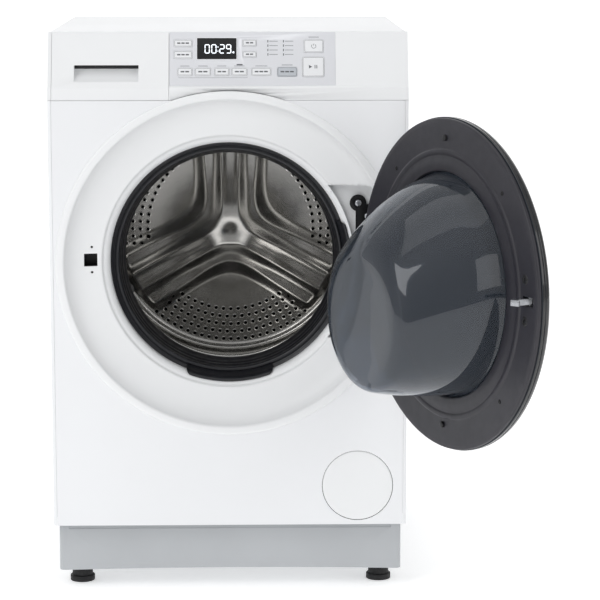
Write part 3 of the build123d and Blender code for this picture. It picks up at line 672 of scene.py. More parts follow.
# two moulded flaps of the gasket lie over the lip of the surround
tabs = [gas]
for a0, a1 in ((248, 292), (-22, 20)):
    pr = rounded([(204.6, 37.6), (204.2, 36.0), (202.8, 35.6), (200.0, 38.0), (196.6, 44.0), (194.0, 52.0), (191.4, 60.0),
                  (193.0, 63.0), (199.0, 63.0), (199.2, 46.6), (201.4, 40.8)], 0.9, 3)
    seg, nn = 72, len(pr)
    verts, faces = [], []
    for j in range(seg + 1):
        t = j / seg
        e = min(1.0, min(t, 1 - t) * 22)
        s_ = math.sin(e * math.pi / 2)
        for r, y in pr:
            out = max(0.0, (r - 196.0) / 8.6)
            # the ends slant back, wider at the lip than at the root
            a = math.radians(a0 + (a1 - a0) * t + (1.6 * out) * (1 if t < 0.5 else -1) * (1 - min(1.0, min(t, 1 - t) * 8)))
            rr_ = r - 2.2 * out * (1 - s_)
            yy = y + 1.6 * out * (1 - s_)
            verts.append(P(rr_ * math.cos(a), yy, AX_Z + rr_ * math.sin(a)))
    for j in range(seg):
        for i in range(nn):
            k = (i + 1) % nn
            faces.append((j * nn + i, j * nn + k, (j + 1) * nn + k, (j + 1) * nn + i))
    faces.append(tuple(range(nn)))
    faces.append(tuple(seg * nn + i for i in range(nn - 1, -1, -1)))
    tabs.append(new_obj("tab", verts, faces))
gas = join("door_gasket_bellows", tabs)
gas.data.materials.clear()
gas.data.materials.append(M["gasket_rubber"])
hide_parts("door_gasket")
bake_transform(gas)

# -------------------------------------------------------------------- drum
lip = [(184.0, 176.0), (184.3, 173.9), (185.4, 172.6), (187.2, 172.0), (189.2, 172.2), (190.5, 173.6), (191.3, 176.0),
       (193.5, 178.2), (199.0, 179.9), (206.0, 181.8), (214.0, 184.0), (222.0, 186.6), (230.0, 189.4), (238.0, 192.4),
       (242.6, 195.6), (244.6, 198.6), (245.0, 202.0), (245.0, 486.0), (243.5, 486.0), (243.5, 202.4), (243.0, 199.6),
       (241.2, 197.0), (237.2, 193.9), (229.6, 190.9), (221.6, 188.1), (213.6, 185.6), (205.6, 183.4), (198.4, 181.4),
       (192.4, 179.9), (189.6, 180.4), (187.4, 180.6), (185.4, 180.2), (184.2, 178.4)]
drum = revolve("drum_wall_rolled", lip, seg=288)
put(drum, "drum", "drum_steel", "drum_shell", mat=M["drum_wall"])

# rear plate: dished, with three raised two-level arms between perforated fields
def plate_base(r):
    """The plate's dished sheet, with a rolled bead near its rim."""
    y = 454.0 + 31.4 * (1.0 - math.exp(-(r / 72.0) ** 2))
    return y - 5.5 * math.exp(-((r - 227.0) / 6.5) ** 2)


ARMS = (90.0, 210.0, 330.0)


def smooth(a, b, x):
    t = max(0.0, min(1.0, (x - a) / (b - a)))
    return t * t * (3 - 2 * t)


def star_field(r, th, w0, slope, k):
    """Signed distance to the star's outline, its inner corners rounded by k."""
    tot = 0.0
    for c in ARMS:
        d = math.radians((th - c + 180) % 360 - 180)
        lat, lon = r * math.sin(d), r * math.cos(d)
        q = abs(lat) - w0 - slope * lon if lon > 0 else math.hypot(lat, lon) - w0
        tot += math.exp(-q / k)
    return -k * math.log(tot)


def arm_height(r, th):
    """Height of the embossed two-level star, in mm towards the door."""
    fi = star_field(r, th, 22.0, 0.015, 8.0)
    fo = star_field(r, th, 50.0, 0.06, 12.0)
    h = 6.5 * (1 - smooth(-11, 10, fi)) + 8.0 * (1 - smooth(-13, 13, fo))
    h += 1.0 * math.exp(-((fi + 9.0) / 5.0) ** 2)
    h += 0.8 * math.exp(-((fo + 11.0) / 6.0) ** 2)
    h -= 1.6 * math.exp(-((fi + 21.0) / 10.0) ** 2) * smooth(34, 70, r)
    return h * (1 - smooth(198, 216, r))


def star_plate():
    radii = [0.0] + [1.5 + 1.5 * i for i in range(161)] + [243.2]
    seg = 540
    verts = [P(0, 454.0, AX_Z)]
    for r in radii[1:]:
        for j in range(seg):
            th = 360.0 * j / seg
            y = plate_base(r) + 3.0 * smooth(0, 60, r) * 0.0 - arm_height(r, th) * smooth(0, 90, r) ** 0.5
            # a small formed boss with a dimple at the hub
            y += 2.4 * math.exp(-(r / 14.0) ** 2)
            a = math.radians(th)
            verts.append(P(r * math.cos(a), y, AX_Z + r * math.sin(a)))
    faces = [(0, 1 + j, 1 + (j + 1) % seg) for j in range(seg)]
    n = len(radii) - 1
    for i in range(n - 1):
        for j in range(seg):
            k = (j + 1) % seg
            faces.append((1 + i * seg + j, 1 + (i + 1) * seg + j, 1 + (i + 1) * seg + k, 1 + i * seg + k))
    front = len(verts)
    # thin back skin and rim, so the sheet has a real thickness
    back = [P(0, 459.4, AX_Z)]
    br = [12.0 * k for k in range(1, 20)] + [243.2]
    by = [min(487.6, plate_base(r) + 2.4 + 2.4 * math.exp(-(r / 14.0) ** 2)) for r in br]
    by[-1] = 487.6
    for r, y in zip(br, by):
        for j in range(seg):
            a = 2 * math.pi * j / seg
            back.append(P(r * math.cos(a), y, AX_Z + r * math.sin(a)))
    verts += back
    faces += [(front, front + 1 + (j + 1) % seg, front + 1 + j) for j in range(seg)]
    for i in range(len(br) - 1):
        for j in range(seg):
            k = (j + 1) % seg
            faces.append((front + 1 + i * seg + j, front + 1 + i * seg + k,
                          front + 1 + (i + 1) * seg + k, front + 1 + (i + 1) * seg + j))
    lf, lb_ = 1 + (n - 1) * seg, front + 1 + (len(br) - 1) * seg
    for j in range(seg):
        k = (j + 1) % seg
        faces.append((lf + j, lb_ + j, lb_ + k, lf + k))
    return new_obj("drum_star_plate", verts, faces, angle=60)


def star_material():
    """Polished steel with punched holes in five rows between the arms, each hole painted near-black as painted shade.
    """
    m = surface("drum_star_steel", (204, 202, 198), 0.24, metal=1.0, vary=4, vscale=8, rvary=0.03)
    nt = m.node_tree
    bs = nt.nodes["Principled BSDF"]
    tc = nt.nodes.new("ShaderNodeTexCoord")
    sp = nt.nodes.new("ShaderNodeSeparateXYZ")
    nt.links.new(tc.outputs["Object"], sp.inputs["Vector"])

    def op(kind, a, b=None):
        n = nt.nodes.new("ShaderNodeMath")
        n.operation = kind
        for i, v in enumerate((a, b)):
            if v is None:
                continue
            if isinstance(v, (int, float)):
                n.inputs[i].default_value = v
            else:
                nt.links.new(v, n.inputs[i])
        return n.outputs[0]

    x = sp.outputs["X"]
    z = op("SUBTRACT", sp.outputs["Z"], AX_Z / 1000.0)
    rad = op("SQRT", op("ADD", op("MULTIPLY", x, x), op("MULTIPLY", z, z)))
    # angle from the middle of the nearest field, fields at 270, 30 and 150 degrees
    th = op("ADD", op("ARCTAN2", z, x), math.radians(90 + 360))
    q = op("DIVIDE", th, math.radians(120))
    off = op("SUBTRACT", q, op("ROUND", q))          # -0.5..0.5 of 120 degrees
    row = op("DIVIDE", op("SUBTRACT", rad, 0.153), 0.0142)
    rowi = op("ROUND", row)
    rowf = op("MULTIPLY", op("SUBTRACT", row, rowi), 0.0142)
    odd = op("MULTIPLY", op("MODULO", op("ADD", rowi, 8.0), 2.0), 0.5)
    # arc length along the row at that row's radius
    rrow = op("ADD", op("MULTIPLY", rowi, 0.0142), 0.153)
    arc = op("MULTIPLY", op("MULTIPLY", off, math.radians(120)), rrow)
    c = op("SUBTRACT", op("DIVIDE", arc, 0.0138), odd)
    cf = op("MULTIPLY", op("SUBTRACT", c, op("ROUND", c)), 0.0138)
    d = op("SQRT", op("ADD", op("MULTIPLY", rowf, rowf), op("MULTIPLY", cf, cf)))
    hole = op("LESS_THAN", d, 0.0030)
    inrow = op("MULTIPLY", op("GREATER_THAN", rowi, -0.5), op("LESS_THAN", rowi, 4.5))
    span = op("LESS_THAN", op("ABSOLUTE", arc), op("SUBTRACT", op("MULTIPLY", rrow, 0.86), 0.026))
    mask = op("MULTIPLY", hole, op("MULTIPLY", inrow, span))
    # the holes are painted near-black: painted shade standing in for the dark gap behind each hole
    old = bs.inputs["Base Color"].links[0].from_socket
    mx = nt.nodes.new("ShaderNodeMix")
    mx.data_type = "RGBA"
    nt.links.new(mask, mx.inputs["Factor"])
    nt.links.new(old, mx.inputs["A"])
    mx.inputs["B"].default_value = lin((10, 10, 11))
    nt.links.new(mx.outputs["Result"], bs.inputs["Base Color"])
    # a rolled burr round each hole
    bp = nt.nodes.new("ShaderNodeBump")
    bp.inputs["Strength"].default_value = 0.35
    bp.inputs["Distance"].default_value = 0.0012
    rim = nt.nodes.new("ShaderNodeMapRange")
    rim.interpolation_type = "SMOOTHSTEP"
    rim.inputs["From Min"].default_value = 0.0030
    rim.inputs["From Max"].default_value = 0.0048
    nt.links.new(d, rim.inputs["Value"])
    near = op("MULTIPLY", op("SUBTRACT", 1.0, rim.outputs["Result"]), op("MULTIPLY", inrow, span))
    nt.links.new(near, bp.inputs["Height"])
    nt.links.new(bp.outputs["Normal"], bs.inputs["Normal"])
    return m


star = star_plate()
put(star, "drum", "drum_steel", "drum_rear_plate", mat=star_material())

# lifters: hollow plastic paddles with a rounded crest
for k, c in enumerate((90.0, 210.0, 330.0)):
    r1 = 243.1
    sec = spline([(30, r1 - 0.6), (25.5, r1 - 4.5), (20, r1 - 12), (13.5, r1 - 25), (8.5, r1 - 33), (0, r1 - 36),
                  (-8.5, r1 - 33), (-13.5, r1 - 25), (-20, r1 - 12), (-25.5, r1 - 4.5), (-30, r1 - 0.6)], 4)
    ys = [215, 216, 219, 224, 232, 300, 380, 452, 461, 466, 469, 470]
    sc = [0.35, 0.55, 0.74, 0.88, 0.97, 1.0, 1.0, 0.97, 0.88, 0.74, 0.55, 0.35]
    a = math.radians(c)
    er, et = Vector((math.cos(a), math.sin(a))), Vector((-math.sin(a), math.cos(a)))
    verts, faces = [], []
    ns = len(sec)
    for y, s in zip(ys, sc):
        for t, r in sec:
            rr_ = r1 - (r1 - r) * s
            tt = t * (0.9 + 0.1 * s)
            lim = math.sqrt(max(0.0, r1 * r1 - tt * tt))
            rr_ = min(rr_, lim - 0.05)
            q = er * rr_ + et * tt
            verts.append(P(q.x, y, AX_Z + q.y))
    for i in range(len(ys) - 1):
        for j in range(ns - 1):
            faces.append((i * ns + j, i * ns + j + 1, (i + 1) * ns + j + 1, (i + 1) * ns + j))
        faces.append((i * ns + ns - 1, i * ns, (i + 1) * ns, (i + 1) * ns + ns - 1))
    faces.append(tuple(range(ns)))
    faces.append(tuple((len(ys) - 1) * ns + j for j in range(ns - 1, -1, -1)))
    ob = new_obj("lifter_%d" % (k + 1), verts, faces, angle=50)
    if k == 0:
        put(ob, "drum", "grey_plastic", "drum_lifters", mat=M["grey_plastic"])
    else:
        put(ob, "drum", "grey_plastic", mat=M["grey_plastic"])

# -------------------------------------------------------------------- door
# Drawn closed about the drum axis, then turned to where the door rests.
cov = ([(0.0, -22.2)] + spline([(0.0, -22.2), (100.0, -21.4), (170.0, -19.4), (222.0, -16.6), (246.0, -13.6)], 6)[1:]
       + spline([(246.0, -13.6), (254.0, -11.9), (259.0, -9.6), (261.8, -6.6), (262.9, -3.2)], 4)[1:]
       + [(263.0, -1.6), (262.9, -0.9), (261.9, -0.5), (261.9, 0.3), (262.9, 0.7), (263.0, 1.4), (263.0, 4.6),
          (262.6, 5.3), (261.9, 5.5), (260.6, 5.5), (260.1, 5.0), (260.0, -2.4), (258.9, -5.4), (255.4, -8.0),
          (245.0, -10.7), (221.4, -13.6), (170.0, -16.4), (100.0, -18.4), (0.0, -19.2)])
cover = revolve("door_cover_shell", cov, seg=320)

fr_p = [(261.5, 6.5), (261.5, 9.2), (261.3, 10.2), (260.7, 11.2), (259.8, 11.8), (258.4, 12.0), (256.4, 12.0),
        (255.6, 12.15), (254.6, 12.2), (252.0, 12.1), (232.0, 12.0), (216.0, 12.0), (214.4, 12.1), (213.4, 12.5),
        (212.6, 13.2), (211.6, 13.6), (206.6, 13.6), (205.6, 13.3), (204.6, 12.8), (203.0, 12.75), (197.0, 13.9),
        (191.0, 14.9), (188.0, 15.0), (182.0, 15.0), (180.2, 14.8), (179.0, 14.1), (178.6, 13.0), (178.5, 9.0),
        (256.5, 9.0), (256.5, 0.0), (259.8, 0.0), (259.8, 6.3)]
dframe = revolve("door_inner_ring", fr_p, seg=320)
slotb = box_obj("hs", -246, -219, 5.0, 22, 552.0, 566.0)
boolean(dframe, slotb, "DIFFERENCE")
lug1 = box_obj("lg1", -236, -224, -2, 9.5, 545, 551)
lug2 = box_obj("lg2", -236, -224, -2, 9.5, 567, 573)
boolean(dframe, lug1, "UNION")
boolean(dframe, lug2, "UNION")


def ear_plan(grow):
    p1 = (221.0, 5.0)
    dx, dy = p1[0] - HX, p1[1] - HY
    le = math.hypot(dx, dy)
    nx, ny = -dy / le, dx / le
    hw = 4.5 + grow
    out = []
    a0 = math.atan2(HY - p1[1], HX - p1[0])
    for k in range(25):                       # round the pivot
        a = a0 - math.radians(115) + math.radians(230) * k / 24
        out.append((HX + (7.5 + grow) * math.cos(a), HY + (7.5 + grow) * math.sin(a)))
    q1 = (p1[0] + nx * hw, p1[1] + ny * hw)
    q2 = (p1[0] - nx * hw, p1[1] - ny * hw)
    return out, q1, q2, p1, hw


def plan_block(name, z0, z1, pts):
    m = len(pts)
    v = [P(x, y, z0) for x, y in pts] + [P(x, y, z1) for x, y in pts]
    f = [(j, (j + 1) % m, m + (j + 1) % m, m + j) for j in range(m)]
    f += [tuple(range(m - 1, -1, -1)), tuple(range(m, 2 * m))]
    return new_obj(name, v, f, smooth=False)


def sweep_cut(hz):
    """The room the ear takes up as the door swings shut: a fan-shaped slot."""
    parts = []
    n = 16
    for k in range(n + 1):
        a = -DOOR_OPEN * k / n
        pts = []
        for x, y in ((HX - 9, HY - 9), (HX + 9, HY - 9), (HX + 9, HY + 9), (226, 9.5), (226.5, 41), (215.5, 41), (215.5, 1)):
            dx, dy = x - HX, y - HY
            pts.append((HX + dx * math.cos(a) - dy * math.sin(a), HY + dx * math.sin(a) + dy * math.cos(a)))
        parts.append(plan_block("s%d" % k, hz - 2.8, hz + 2.8, pts))
    b = parts[0]
    for q in parts[1:]:
        boolean(b, q, "UNION")
    return b


for hz in (499.0, 609.0):
    cut = sweep_cut(hz)
    boolean(dframe, cut, "DIFFERENCE", keep=True)
    boolean(cover, cut, "DIFFERENCE")
bevel(cover, 0.35, 2, limit=50)
cover.data.materials.clear()
cover.data.materials.append(M["door_black"])
cover.data.materials.append(M["door_liner"])
for f in cover.data.polygons:
    inner = f.normal.y > 0.2 or (f.normal.y > -0.2 and math.hypot(f.center.x, f.center.z - AX_Z / 1000) < 0.2605)
    f.material_index = 1 if inner else 0
to_door(cover)
put(cover, "door", "door_black", "door_outer_cover")
bevel(dframe, 0.3, 2, limit=50)
to_door(dframe)
put(dframe, "door", "frame_grey", "door_inner_frame", mat=M["frame_grey"])

# glass bowl: a drawn bowl whose centre drops as it deepens
bo = [(8.9, 0.0, 190.6), (8.9, 0.0, 180.4), (9.6, 0.0, 178.3), (13.0, -0.3, 176.2), (24.0, -1.0, 172.4), (60.0, -7.0, 165.0), (105.0, -19.0, 148.0),
      (140.0, -31.0, 130.0), (156.0, -37.0, 119.0), (163.4, -40.0, 106.0), (165.9, -41.0, 92.0), (166.0, -41.0, 60.0),
      (166.0, -41.0, 20.0)]
bi = [(162.0, -41.0, 20.0), (162.0, -41.0, 60.0), (161.6, -41.0, 88.0), (159.0, -39.4, 102.6), (153.0, -36.2, 114.6),
      (137.5, -30.4, 126.0), (103.5, -18.6, 144.0), (59.0, -7.0, 161.0), (23.0, -1.0, 168.0), (6.8, 0.0, 170.0),
      (5.6, 0.0, 172.0), (5.6, 0.0, 190.6)]
levels = spline(bo, 5) + spline(bi, 5)
seg = 256
verts, faces = [], []
for y, dz, r in levels:
    for j in range(seg):
        a = 2 * math.pi * j / seg
        verts.append(P(r * math.cos(a), y, AX_Z + dz + r * math.sin(a)))
nl = len(levels)
mid = len(spline(bo, 5))
for i in range(nl - 1):
    if i == mid - 1:
        continue
    for j in range(seg):
        k = (j + 1) % seg
        faces.append((i * seg + j, i * seg + k, (i + 1) * seg + k, (i + 1) * seg + j))
c1, c2 = len(verts), len(verts) + 1
verts += [P(0, 166.0, AX_Z - 41.0), P(0, 162.0, AX_Z - 41.0)]
for j in range(seg):
    k = (j + 1) % seg
    faces.append(((mid - 1) * seg + j, (mid - 1) * seg + k, c1))
    faces.append((mid * seg + k, mid * seg + j, c2))
    faces.append((j, (nl - 1) * seg + j, (nl - 1) * seg + k, k))
bowl = new_obj("door_glass_bowl", verts, faces, angle=50)
to_door(bowl)
put(bowl, "door", "clear_glass", "door_glass", mat=M["clear_glass"])

# screw heads with a cross recess, and the two rubber stops
sc = []
for x, z in ((-225, 591), (-225, 528), (-160, 714), (-160, 394), (150, 724), (150, 384)):
    h = revolve("scr", [(0, 12.0), (3.6, 12.0), (3.6, 12.45), (3.3, 12.85), (2.6, 13.08), (1.4, 13.18), (0, 13.2)], seg=32,
                cx=x, cz=z, closed=False)
    bm = bmesh.new(); bm.from_mesh(h.data)
    bmesh.ops.remove_doubles(bm, verts=bm.verts, dist=1e-6)
    bm.to_mesh(h.data); bm.free()
    for w_, h_ in ((3.6, 0.7), (0.7, 3.6)):
        boolean(h, box_obj("x", x - w_ / 2, x + w_ / 2, 12.7, 14, z - h_ / 2, z + h_ / 2), "DIFFERENCE")
    h.data.materials.clear(); h.data.materials.append(M["steel_black"])
    sc.append(h)
for z in (AX_Z + 231, AX_Z - 225):
    h = revolve("buf", [(0, 12.0), (5.0, 12.0), (5.0, 14.4), (4.7, 15.3), (3.8, 15.9), (2.0, 16.0), (0, 16.0)], seg=40,
                cx=2, cz=z, closed=False)
    h.data.materials.clear(); h.data.materials.append(M["black_plastic"])
    sc.append(h)
# black rings round the two screws at the latch side: painted shade standing in for the shadow in their counterbores
for z in (591, 528):
    h = revolve("cb", [(3.9, 12.0), (3.9, 12.5), (4.6, 13.0), (6.2, 13.0), (7.2, 12.6), (7.6, 12.0)], seg=48, cx=-225, cz=z, closed=True)
    h.data.materials.clear(); h.data.materials.append(M["black_plastic"])
    sc.append(h)
sc = join("door_screws_and_stops", sc)
to_door(sc)
put(sc, "door", "steel_black", "door_screws")

hook = cad_copy("latch_hook", "latch_hook_cast", 0.35, 2)
put(hook, "latch", "zinc_steel", "latch_hook", mat=M["zinc_steel"])

# hinge: bracket and the arm inside the door keep their CAD shape, edges broken
brk = cad_copy("hinge_bracket", "hinge_bracket_pressed", 0.4, 2)
put(brk, "cabinet", "steel_black", "hinge_bracket", mat=M["steel_black"])
arm = cad_copy("door_hinge_arm", "door_hinge_knuckle", 0.3, 2)
put(arm, "door", "zinc_steel", "door_hinge_arm", mat=M["zinc_steel"])
bs_ = []
for x, z in ((216, 652), (232, 630), (210, 443), (230, 470)):
    h = revolve("hsc", [(0, 40.2), (2.45, 40.2), (5.6, 38.9), (5.6, 38.0), (5.2, 36.6), (4.0, 35.6), (2.0, 35.2), (0, 35.1)], seg=32,
                cx=x, cz=z, closed=False)
    for w_, h_ in ((5.4, 1.0), (1.0, 5.4)):
        boolean(h, box_obj("x", x - w_ / 2, x + w_ / 2, 34, 36.6, z - h_ / 2, z + h_ / 2), "DIFFERENCE")
    bs_.append(h)
bs_ = join("hinge_bracket_screws", bs_)
put(bs_, "cabinet", "zinc_steel", mat=M["zinc_steel"])

# --------------------------------------------------------- control fascia
fas = cad_copy("control_fascia", "fascia_moulding", 0.0)
put(fas, "cabinet", "white_plastic", "control_fascia", mat=M["white_plastic"])
panel = cad_copy("control_panel", "panel_inlay", 0.0)
put(panel, "cabinet", "panel_silver", "control_panel", mat=M["panel_silver"])

KEYS = {
    "key_power": (141.4, 69.0, 31.7, 22.0, 2.0), "key_start": (140.4, 33.2, 36.0, 34.4, 3.0),
    "key_course": (97.2, 24.8, 32.4, 16.0, 2.5),
    "key_wash": (-71.5, 25.0, 24.4, 13.4, 2.0), "key_rinse": (-41.8, 25.0, 25.6, 13.4, 2.0),
    "key_spin": (-10.6, 25.0, 24.0, 13.4, 2.0), "key_dry": (18.3, 25.0, 25.4, 13.4, 2.0),
    "key_memory": (54.5, 25.0, 32.0, 13.4, 2.0),
    "key_left_upper": (-74.5, 74.1, 30.0, 12.2, 1.5), "key_left_lower": (-74.5, 54.2, 30.0, 13.2, 1.5),
    "key_right_upper": (35.3, 74.6, 22.6, 11.2, 1.5), "key_right_lower": (35.3, 54.9, 22.6, 10.4, 1.5)}
for n, (u, v, w, h, r) in KEYS.items():
    cap = pad("cap_" + n, PANEL, u, v, w, h, r, -9.0, 0.9, b=0.5, n=8, dome=0.12)
    m = M["key_grey"] if n == "key_course" else M["key_white"]
    put(cap, n, "key_white", n, mat=m)
    # a thin printed outline just inside the edge
    ln = strip("outline_" + n, PANEL, rr(u, v, w - 2.4, h - 2.4, max(r - 0.8, 0.6), 6), 0.45, 0.985, 1.03)
    put(ln, n, "key_white", mat=M["line_dark"] if n == "key_start" else M["print_grey"])

# symbols on the round keys: plain power and play marks
arc = [(141.4 + 3.6 * math.cos(math.radians(a)), 68.6 + 3.6 * math.sin(math.radians(a))) for a in range(125, 416, 10)]
pm = strip("mark_power", PANEL, arc, 0.7, 1.01, 1.06, closed=False)
put(pm, "key_power", "key_white", mat=M["line_dark"])
pm = strip("mark_power_bar", PANEL, [(141.4, 69.6), (141.4, 71.2), (141.4, 73.0)], 0.7, 1.01, 1.06, closed=False)
put(pm, "key_power", "key_white", mat=M["line_dark"])
pm = prism("mark_play", PANEL, [(133.2, 30.2), (138.6, 33.2), (133.2, 36.2)], 1.02, 1.07)
put(pm, "key_start", "key_white", mat=M["line_dark"])
for x in (142.6, 145.6):
    pm = prism("mark_pause_%d" % x, PANEL, [(x, 30.2), (x + 1.3, 30.2), (x + 1.3, 36.2), (x, 36.2)], 1.02, 1.07)
    put(pm, "key_start", "key_white", mat=M["line_dark"])

# display: black glass in a pale bezel with lit figures
disp = pad("display_glass", PANEL, -18.8, 64.85, 65.0, 36.3, 1.2, -1.3, 0.25, b=0.12, n=5)
put(disp, "cabinet", "display_black", "display_window", mat=M["display_black"])
bez = strip("display_bezel", PANEL, rr(-18.8, 64.85, 66.2, 37.5, 1.6, 5), 0.9, 0.0, 0.5)
put(bez, "cabinet", "panel_silver", mat=M["white_plastic"])

SEG7 = {"0": "abcdef", "2": "abged", "9": "abcdfg"}


def seg_poly(s, cx, cy, w, h, t):
    x0, x1, y0, ym, y1 = cx - w / 2, cx + w / 2, cy - h / 2, cy, cy + h / 2
    g, k = 0.18, t / 2
    hor = {"a": y1 - k, "g": ym, "d": y0 + k}
    if s in hor:
        y = hor[s]
        return [(x0 + k + g, y), (x0 + t + g, y - k), (x1 - t - g, y - k), (x1 - k - g, y), (x1 - t - g, y + k), (x0 + t + g, y + k)]
    x = x0 + k if s in "ef" else x1 - k
    lo, hi = (y0 + k, ym) if s in "ec" else (ym, y1 - k)
    return [(x, lo + g), (x + k, lo + k + g), (x + k, hi - k - g), (x, hi - g), (x - k, hi - k - g), (x - k, lo + k + g)]


digits = []
dh, dw, dt = 16.0, 8.8, 1.7
for i, (ch, cx) in enumerate((("0", -34.6), ("0", -23.6), ("2", -10.2), ("9", 0.8))):
    for s in SEG7[ch]:
        pts = seg_poly(s, cx, 64.4, dw, dh, dt)
        digits.append(prism("d%d%s" % (i, s), PANEL, pts, 0.26, 0.31, mats=[M["digit_white"]]))
for cy in (60.6, 67.6):
    digits.append(prism("c%d" % cy, PANEL, rr(-16.9, cy, 1.8, 1.8, 0.5, 3), 0.26, 0.31, mats=[M["digit_white"]]))
digits.append(prism("m", PANEL, rr(8.6, 58.4, 3.0, 3.0, 0.8, 3), 0.26, 0.3, mats=[M["digit_white"]]))
ds = join("display_figures", digits)
put(ds, "cabinet", "display_black")

# printed scale beside the course key, bracket line and dash
prints = []
for col in (65.6, 91.4):
    for row in range(4):
        v = 77.6 - 7.6 * row
        prints.append(prism("b%d%d" % (col, row), PANEL, rr(col, v, 1.5, 4.2, 0.5, 3), 0.012, 0.07, mats=[M["line_dark"]]))
        prints.append(prism("t%d%d" % (col, row), PANEL, rr(col + 9.4, v, 14.0, 0.9, 0.3, 3), 0.012, 0.05, mats=[M["print_grey"]]))
prints.append(strip("br", PANEL, [(-81.7, 16.6), (-81.7, 14.8), (31.4, 14.8), (31.4, 16.6)], 0.5, 0.012, 0.06, closed=False, mats=[M["print_grey"]]))
prints.append(prism("dash", PANEL, rr(18.8, 37.2, 9.9, 2.2, 0.6, 4), 0.012, 0.06, mats=[M["line_dark"]]))
for u, w_ in ((-71.5, 15), (-41.8, 16), (-10.6, 15), (18.3, 17), (54.5, 20)):
    prints.append(prism("k%d" % u, PANEL, rr(u, 35.0, w_, 0.9, 0.3, 3), 0.012, 0.05, mats=[M["print_grey"]]))
prints.append(prism("pw", PANEL, rr(141.4, 84.6, 17, 1.0, 0.3, 3), 0.012, 0.05, mats=[M["print_grey"]]))
prints.append(prism("cs", PANEL, rr(97.2, 36.6, 18, 1.0, 0.3, 3), 0.012, 0.05, mats=[M["print_grey"]]))
pr = join("panel_print", prints)
for n, (u, v, w, h, r) in KEYS.items():
    if n in ("key_power", "key_start"):
        continue
    bars = []
    cnt = 3 if w > 26 else 2
    bw = (w - 9) / cnt
    for i in range(cnt):
        cx = u + (i - (cnt - 1) / 2) * bw
        bars.append(prism("x", PANEL, rr(cx, v, bw - 1.5, 2.4, 0.6, 3), 1.02, 1.07, mats=[M["line_dark"]]))
    bars = join("dashes_" + n, bars)
    put(bars, n, "key_white")
put(pr, "cabinet", "panel_silver")

# ------------------------------------------------------- detergent drawer
dfm = cad_copy("drawer_front", "drawer_front_moulding", 0.0)
put(dfm, "drawer", "white_plastic", "drawer_front", mat=M["white_plastic"])

# ------------------------------------------------------------ filter cover
fc = revolve("filter_cover_disc",
             [(0, 0.12), (30, 0.1), (50, 0.04), (56.6, 0.0), (57.8, 0.12), (58.6, 0.45), (59.1, 1.0), (59.2, 1.6), (59.2, 2.6),
              (57.0, 2.6), (56.6, 2.1), (0, 2.1)], seg=160, cx=215, cz=177, closed=False)
clips = [box_obj("c1", 201, 229, 2.0, 8, 124.0, 130.0), box_obj("c2", 209, 221, 2.0, 8, 225, 228)]
for c in clips:
    bevel(c, 0.5, 2)
fc = join("filter_cover_disc", [fc] + clips)
put(fc, "filter_lid", "white_plastic", "filter_cover", mat=M["white_plastic"])

# ------------------------------------------------------------------- feet
def foot(name, x, y, body, node=None):
    pts = [(0, 0), (19.6, 0), (20.5, 0.3), (21, 1.2), (21, 8.6), (20.6, 9.6), (19.6, 10), (17.9, 10), (17.5, 10.5), (17.5, 21),
           (17.0, 22), (0, 22)]
    seg = 64
    verts, faces = [], []
    for j in range(seg):
        a = 2 * math.pi * j / seg
        for r, z in pts:
            k = 1.0
            if 10.4 < z < 21.5:
                k = 1.0 - (0.02 if (j // 2) % 2 else 0.0)
            verts.append(P(x + r * k * math.cos(a), y + r * k * math.sin(a), z))
    n = len(pts)
    for j in range(seg):
        k = (j + 1) % seg
        for i in range(n - 1):
            faces.append((j * n + i, j * n + i + 1, k * n + i + 1, k * n + i))
    pad_ = new_obj("p", verts, faces, mats=[M["foot_rubber"]])
    nut = []
    for z in (22, 30.9):
        nut += [P(x + 12.5 * math.cos(math.radians(60 * k)), y + 12.5 * math.sin(math.radians(60 * k)), z) for k in range(6)]
    nf = [(k, (k + 1) % 6, 6 + (k + 1) % 6, 6 + k) for k in range(6)] + [tuple(range(5, -1, -1)), tuple(range(6, 12))]
    nut = new_obj("n", nut, nf, mats=[M["zinc_steel"]])
    bevel(nut, 0.8, 2)
    # threaded stud
    sv, sf = [], []
    turns, spt, pitch = 22, 24, 1.6
    tot = turns * spt
    for i in range(tot + 1):
        a = 2 * math.pi * i / spt
        z = 30.4 + pitch * i / spt
        for r, dz in ((4.45, 0.0), (4.98, pitch * 0.5)):
            sv.append(P(x + r * math.cos(a), y + r * math.sin(a), min(z + dz, 66)))
    for i in range(tot):
        sf.append((2 * i, 2 * i + 2, 2 * i + 3, 2 * i + 1))
        if i + spt < tot:
            sf.append((2 * i + 1, 2 * i + 3, 2 * (i + spt) + 2, 2 * (i + spt)))
    stud = new_obj("s", sv, sf, mats=[M["zinc_steel"]])
    core = []
    return join(name, [pad_, nut, stud])


f1 = foot("foot_pad_front_left", -254, 61, "foot_left")
put(f1, "foot_left", "foot_rubber", "foot_front_left")
f2 = foot("foot_pad_front_right", 254, 61, "foot_right")
put(f2, "foot_right", "foot_rubber", "foot_front_right")
f3 = join("feet_pads_rear", [foot("a", -254, 579, ""), foot("b", 254, 579, "")])
put(f3, "cabinet", "foot_rubber", "feet_rear")

# black strip under the top edge of the drawer's finger pocket: painted shadow standing in for the shade of the
# undercut
gs = box_obj("drawer_grip_painted_shadow", -253.9, -148.1, 39.4, 40.9, 876.2, 884.5)
bevel(gs, 0.3, 2)
put(gs, "drawer", "black_plastic", mat=M["black_plastic"])
